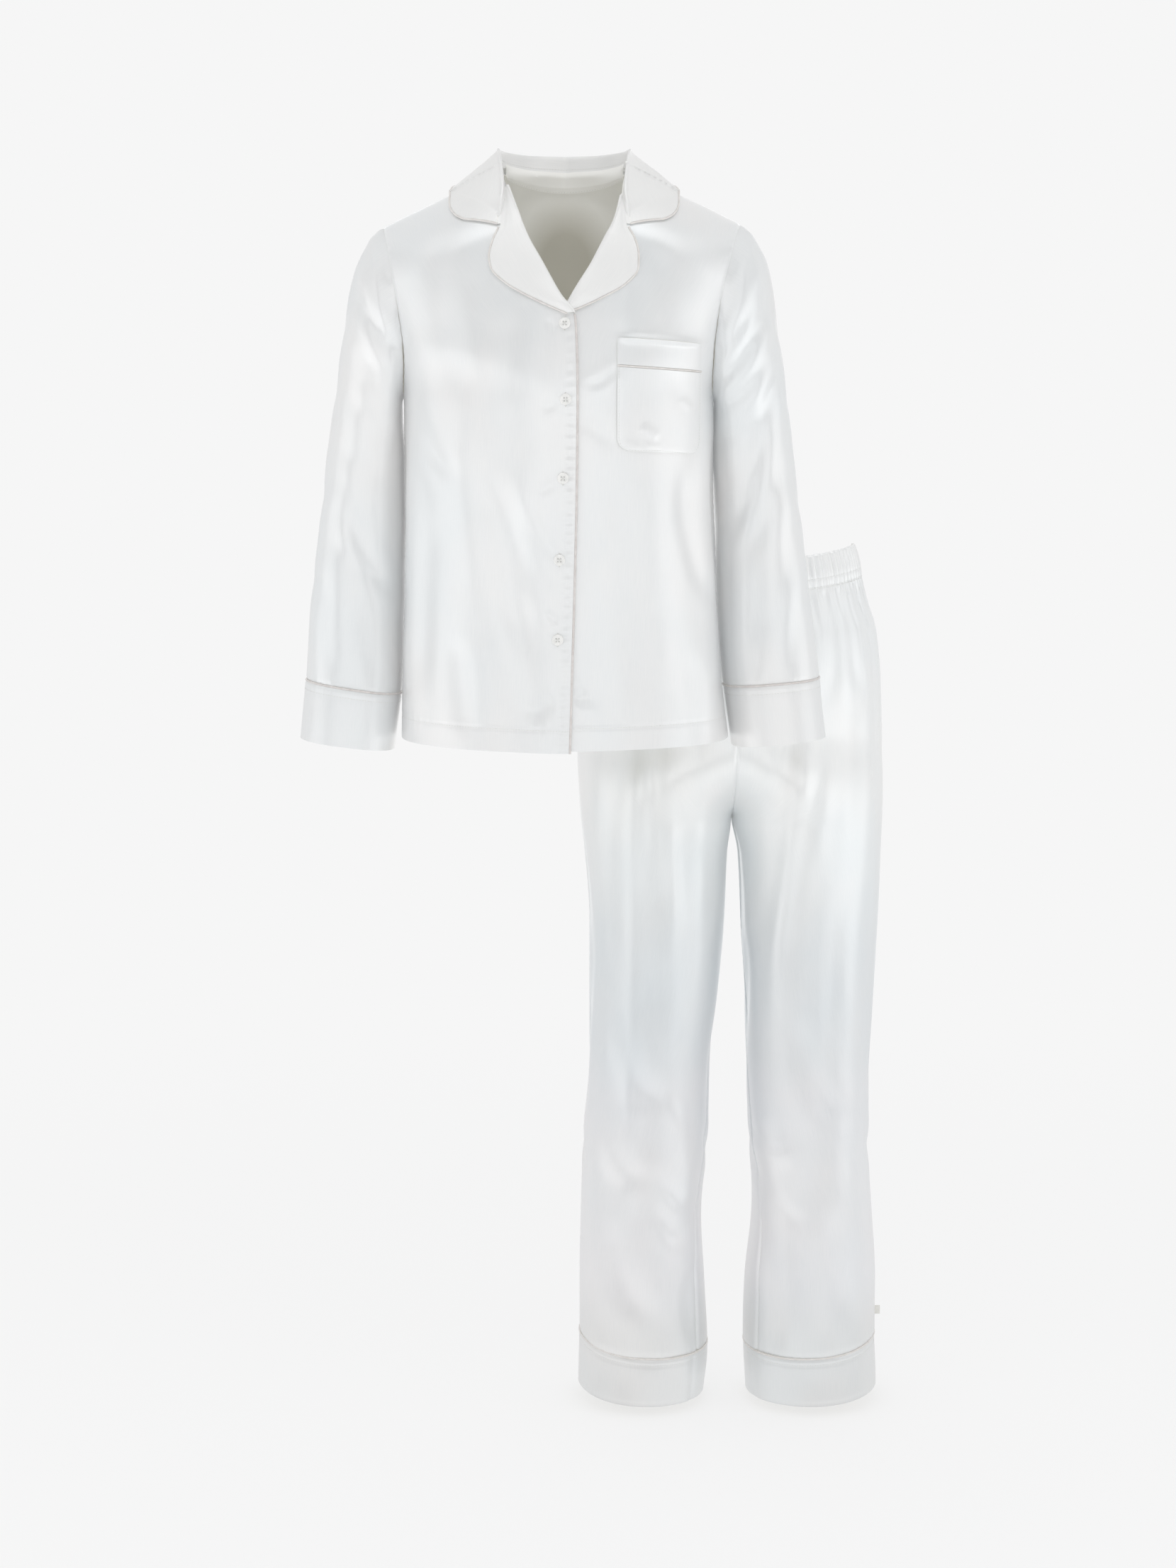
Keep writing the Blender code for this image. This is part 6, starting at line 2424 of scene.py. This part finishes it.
    def panel(self, side: Side, face: Face) -> Skin:
        """A finished leg panel, from the gathered waist seam to the hem band's piping.

        Args:
            side: which leg.
            face: front or back.

        Returns:
            The skin.
        """
        low = self.band_seam + self.gap * 0.6
        z = np.concatenate([np.linspace(self.waist_seam, self.gather_end, self.waist_rows)[:-1],
                            np.linspace(self.gather_end, low, self.leg_rows)])
        shares = np.linspace(0, 1, self.columns)
        turn = self.turns(z, face, shares)
        level = z[:, None] + 0 * turn
        below = self.waist_seam - level
        fine = self.gather(shares[None] * 2 * self.gathers + 0 * turn,
                           self.gather_depth * np.exp(-below / self.fine_fade))
        uneven = 0.6 * np.sin(shares[None] * 19)
        rise = self.wide_depth * ease(below / self.wide_start)
        wide = self.gather(shares[None] * self.wide_gathers + uneven + 0 * turn,
                           rise * np.exp(-below / self.wide_fade))
        points = self.leg(turn, level, side, face, fine + wide)
        fade = ease((level - self.dip_end) / self.dip_fade)
        points[..., 2] -= self.dip(turn, face) * fade
        skin = Skin(points, from_axis(points, self.centre_x + side.value * 100, self.centre_y))
        folds = self.right_folds if side is Side.RIGHT else self.left_folds
        swapped = self.left_folds if side is Side.RIGHT else self.right_folds
        mirrored = tuple(replace(fold, start=self.swap(fold.start), end=self.swap(fold.end),
                                 depth=self.behind_share * fold.depth, view=View.BACK)
                         for fold in swapped)
        skin = skin.pressed(
            *folds, *mirrored, *self.front_creases, *self.back_creases, *self.side_creases,
            Unevenness(41, 1.6, (50, 60, 170)), Unevenness(42, 0.6, (20, 30, 60)),
            Seam(Edge.FAR, 0, 0.8, 2.2, 0.3, 12, 8), Seam(Edge.NEAR, 0, 1.8, 1.8, 0.3, 12, 8),
            Seam(Edge.BOTTOM, 0, 0.6, 1.8, 0.3, 10, 8))
        skin.points[z > self.crotch, 0, 0] = self.centre_x
        return skin

    def swap(self, place: tuple[float, float]) -> tuple[float, float]:
        """A place of one leg's front, on the other leg's back and a little lower."""
        return 2 * self.centre_x - place[0], place[1] - 30

    def waist(self) -> Skin:
        """The waistband, gathered all round.

        Returns:
            The skin.
        """
        rows = self.waistband_rows
        z = np.linspace(self.waist_top, self.waist_seam + 0.3, rows)
        level = np.concatenate([np.zeros(1), np.linspace(0, 1, rows - 2), np.ones(1)])
        inset = np.where(np.arange(rows) == 0, self.gap, 0.0)[:, None]
        shares = np.linspace(0, 1, 6 * self.gathers + 1)
        lines = []
        for side, face in ((Side.RIGHT, Face.FRONT), (Side.LEFT, Face.FRONT),
                           (Side.LEFT, Face.BACK), (Side.RIGHT, Face.BACK)):
            turn = mix(math.pi / 2, math.pi, shares)[None] + 0 * z[:, None]
            height = z[:, None] + 0 * turn
            swell = 0.65 + 0.35 * np.sin(math.pi * np.clip((level - 0.1) / 0.62, 0, 1))[:, None]
            relief = self.gather(shares[None] * 2 * self.gathers, self.gather_depth * swell)
            relief = relief + 1.4 * np.sin(math.pi * level)[:, None] - inset
            points = self.leg(turn, height, side, face, relief)
            points[..., 2] -= self.dip(turn, face)
            if (side, face) in ((Side.RIGHT, Face.FRONT), (Side.LEFT, Face.BACK)):
                points = points[:, ::-1]
            lines.append(points[:, :-1])
        points = np.concatenate(lines, axis=1)
        skin = Skin(points, from_axis(points, self.centre_x, self.centre_y), wrapped=True)
        high, low = self.waist_lines
        return skin.pressed(Seam(Edge.BOTTOM, high, 0.5, 1.6, 0.0),
                            Seam(Edge.BOTTOM, low, 0.4, 1.4, 0.0),
                            Unevenness(43, 0.5, (9, 9, 22)))

    def band(self, side: Side, z: Array) -> Grid:
        """Rings of a hem band, starting at the inseam.

        Args:
            side: which leg.
            z: the heights of the rings.

        Returns:
            The points.
        """
        shares = np.linspace(0, 1, self.band_columns)
        level = z[:, None]
        front = self.turns(z, Face.FRONT, shares)
        back = self.turns(z, Face.BACK, shares)
        first = self.leg(front, level + 0 * front, side, Face.FRONT)
        second = self.leg(back, level + 0 * back, side, Face.BACK)[:, ::-1]
        return np.concatenate([first, second[:, 1:-1]], axis=1)

    def build_leg(self, shop: Workshop, side: Side) -> None:
        """Makes one leg: its panels, hem band, cord and stitches.

        Args:
            shop: where the pieces are made.
            side: which leg.
        """
        word = side.word
        for face in Face:
            node = f"trouser_{face.word}_{word}"
            cut = (0.31, 0.99, 0.258) if face is Face.FRONT else (0.35, 1.01, 0.295)
            shop.cloth(f"leg_{face.word}_{word}", self.panel(side, face), node, cut,
                       ("trouser", "reverse"), held="gathered", rests_on=["waistband"])
        z = np.linspace(self.band_seam - self.gap * 0.6, self.hem, 24)
        points = self.band(side, z)
        outward = from_axis(points, self.centre_x + side.value * 105, self.centre_y)
        skin = Skin(points, outward, wrapped=True)
        creases = drawn(View.FRONT, Roll.SOFT, (158, -1424, 155, -1490, 3.5, 1.8),
                        (232, -1424, 234, -1490, 3.5, 1.8))
        skin = skin.pressed(*creases, Unevenness(44, 0.8, (34, 40, 50)),
                            Seam(Edge.TOP, 0, 0.6, 1.8, 0.3, 10, 7),
                            Seam(Edge.TOP, self.band_stitch, 0.35, 1.4, 0.25, 9, 6),
                            Seam(Edge.BOTTOM, 3.0, 0.2, 1.5, 0.2, 12, 7))
        shop.cloth(f"hem_band_{word}", skin, f"leg_band_{word}", (0.53, 0.07, 0.0325),
                   ("trouser", "reverse"), 1.2,
                   rests_on=[f"trouser_front_{word}", f"trouser_back_{word}"])
        shop.stitches(f"band_stitches_{word}", skin.trace(Edge.TOP, self.band_stitch),
                      closed=True)
        path = self.band(side, np.array([self.band_seam]))[0]
        cord = tube_mesh(f"leg_cord_{word}", path, closed=True)
        shop.piece(cord, ["trim"], [f"piping_leg_{word}"])

    def build(self, shop: Workshop) -> None:
        """Makes the whole trousers.

        Args:
            shop: where the pieces are made.
        """
        for side in Side:
            self.build_leg(shop, side)
        band = self.waist()
        shop.cloth("waist_band", band, "waistband", (1.00, 0.044, 0.043), ("trouser", "stand"), 1.2,
                   "gathered", ["trouser_front_right", "trouser_front_left"])
        for number, offset in enumerate(self.waist_lines, 1):
            shop.stitches(f"waist_stitches_{number}", band.trace(Edge.BOTTOM, offset, 0.15),
                          closed=True)


@dataclass
class SideTab:
    """The small plain tab in the left leg's outer seam: a folded bit of tape."""

    thick: float = 0.5
    radius: float = 0.6

    def build(self, shop: Workshop) -> None:
        """Makes the tape, folded round its outer end.

        Args:
            shop: where the pieces are made.
        """
        low, high = (np.array(corner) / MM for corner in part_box("side_tab"))
        middle = (low + high) / 2
        radius = self.radius
        turn = np.linspace(-math.pi / 2, math.pi / 2, 9)
        reach = high[0] - radius - 0.2
        flat = [low[0] - 1.0, mix(low[0], reach, 0.5)]
        x = np.concatenate([flat, reach + radius * np.cos(turn), flat[::-1]])
        y = np.concatenate([[-radius, -radius], radius * np.sin(turn), [radius, radius]])
        z = np.linspace(high[2], low[2], 8)
        points = points_of(x[None], middle[1] + y[None], z[:, None])
        skin = Skin(points, from_axis(points, mix(low[0], high[0], 0.4), middle[1]))
        mesh = shell_mesh("tab_tape", skin, self.thick)
        shop.piece(mesh, ["tape", "tape"], ["side_tab"])


# ------------------------------------------------------------------ studio


@dataclass(frozen=True)
class Studio:
    """The floor, the pale surround, the lights and the camera."""

    reach: float = 9.0
    pale: Colour = (0.922, 0.922, 0.922)
    glow: tuple[tuple[float, float], ...] = (
        (-90, 0.87), (-40, 1.13), (-27, 1.05), (-22, 1.11), (-18, 0.79), (-14, 0.45),
        (-10, 0.40), (-5, 0.48), (2, 0.37), (6, 0.09), (12, 0.03), (22, 0.12), (36, 0.88),
        (55, 0.88), (90, 0.72))
    middle: tuple[float, float, float] = (0.1, 0.1, -1.500)
    behind: float = 0.88

    def surround(self) -> None:
        """A pale floor that fades into a pale dome, for the eye alone."""
        ground = Nodes(bpy.data.materials.new("studio_floor"))
        length = ground.add("VectorMath", {"operation": "LENGTH"},
                            Vector=ground.add("TexCoord").outputs["Object"])
        fade = ground.add("MapRange", {"interpolation_type": "SMOOTHSTEP"},
                          Value=length.outputs["Value"], From_Min=0.7, From_Max=2.6)
        ground.dress(Base_Color=(0.25, 0.25, 0.25, 1.0), Roughness=0.9, Specular_IOR_Level=0.0,
                     Emission_Color=(1.0, 1.0, 1.0, 1.0), Emission_Strength=0.67)
        glow = ground.add("Emission", Color=(*self.pale, 1.0), Strength=1.0)
        blend = ground.add("MixShader", Fac=fade.outputs["Result"])
        ground.tree.links.new(ground.shader.outputs["BSDF"], blend.inputs[1])
        ground.tree.links.new(glow.outputs["Emission"], blend.inputs[2])
        ground.feed(ground.tree.nodes["Material Output"], {"Surface": blend.outputs["Shader"]})
        made = bmesh.new()
        bmesh.ops.create_circle(made, cap_ends=True, segments=96, radius=self.reach)
        self.place("studio_floor", made, ground.owner)
        sky = Nodes(bpy.data.materials.new("studio_surround"))
        shine = sky.add("Emission", Color=(*self.pale, 1.0), Strength=1.0)
        sky.feed(sky.tree.nodes["Material Output"], {"Surface": shine.outputs["Emission"]})
        made = bmesh.new()
        bmesh.ops.create_uvsphere(made, u_segments=48, v_segments=24, radius=self.reach * 0.98)
        self.place("studio_surround", made, sky.owner)

    def place(self, name: str, made: bmesh.types.BMesh, material: bpy.types.Material) -> None:
        """Adds a stage piece round the set's foot that only the camera sees.

        Args:
            name: its name.
            made: its form.
            material: its material.
        """
        mesh = taken(made, name)
        mesh.materials.append(material)
        thing = added(name, mesh)
        thing.location = self.middle
        thing.visible_diffuse = thing.visible_glossy = thing.visible_shadow = False
        thing.visible_transmission = False

    def world(self) -> None:
        """The studio's own glow: bands of light in front of the set, and a pale wall behind it."""
        world = bpy.data.worlds.new("studio")
        bpy.context.scene.world = world
        nodes = Nodes(world)
        split = nodes.add("SeparateXYZ", Vector=nodes.add("TexCoord").outputs["Generated"])
        level = nodes.add("MapRange", Value=split.outputs["Z"], From_Min=-1.0)
        stops = [((math.sin(math.radians(height)) + 1) / 2, (0.985 * glow, 0.995 * glow, glow))
                 for height, glow in self.glow]
        wall = nodes.add("MapRange", {"interpolation_type": "SMOOTHSTEP"},
                         Value=split.outputs["Y"], From_Min=-0.1, From_Max=0.3)
        blend = nodes.add("Mix", {"data_type": "RGBA"}, Factor=wall.outputs["Result"],
                          A=nodes.bands(level.outputs["Result"], stops),
                          B=(self.behind, self.behind, self.behind, 1.0))
        nodes.feed(nodes.tree.nodes["Background"], {"Color": blend.outputs["Result"]})

    def lamp(self, name: str, where: tuple[float, float, float], aim: tuple[float, float, float],
             size: tuple[float, float], power: float) -> None:
        """Adds a soft fill aimed at a point, which leaves the shadows to the glow all round.

        Args:
            name: its name.
            where: its place.
            aim: the point that it lights.
            size: its width and height.
            power: its power in watts.
        """
        data = bpy.data.lights.new(name, "AREA")
        data.shape = "RECTANGLE"
        data.size, data.size_y = size
        data.energy = power
        data.use_shadow = False
        lamp = added(name, data)
        lamp.location = where
        lamp.rotation_euler = (Vector(aim) - Vector(where)).to_track_quat("-Z", "Y").to_euler()
        lamp.visible_camera = False

    def build(self) -> None:
        """Makes the studio."""
        self.surround()
        self.world()
        aim = (0.1, 0.0, -0.7)
        self.lamp("front", (0.1, -4.2, 0.0), aim, (4.4, 3.2), 36.0)
        self.lamp("right", (2.8, -1.3, -0.4), aim, (3.0, 3.0), 26.0)
        self.lamp("left", (-2.6, -1.3, -0.4), aim, (3.0, 3.0), 24.0)
        self.lamp("back", (0.1, 3.6, -0.4), aim, (3.0, 3.0), 16.0)
        self.lamp("top", (0.1, -1.6, 2.4), (0.1, 0.0, -0.2), (2.4, 1.6), 13.5)
        camera_data = bpy.data.cameras.new("camera")
        camera_data.lens = 61.0
        camera = added("camera", camera_data)
        camera.location = (0.026, -3.0, -0.279)
        camera.rotation_euler = (math.radians(82.3), 0.0, 0.0)
        bpy.context.scene.camera = camera
        bpy.context.scene.view_settings.view_transform = "Standard"


def main() -> None:
    """Builds the set, piece by piece, and the studio round it."""
    logging.basicConfig(level=logging.INFO, format="%(name)s %(message)s")
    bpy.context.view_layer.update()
    shop = Workshop(Finishes())
    torso = Torso()
    panels = TopPanels(torso)
    skins = panels.build(shop)
    for side in Side:
        Sleeve(side).build(shop, panels, skins)
        Lapel(torso, panels, side).build(shop)
    NeckFacing().build(shop, skins["back"], Collar(torso).build(shop))
    Pocket(torso, panels).build(shop)
    Buttons(torso, panels).build(shop)
    FrontCord().build(shop, torso, skins["right"])
    Trousers().build(shop)
    SideTab().build(shop)
    Studio().build()


if __name__ == "__main__":
    main()
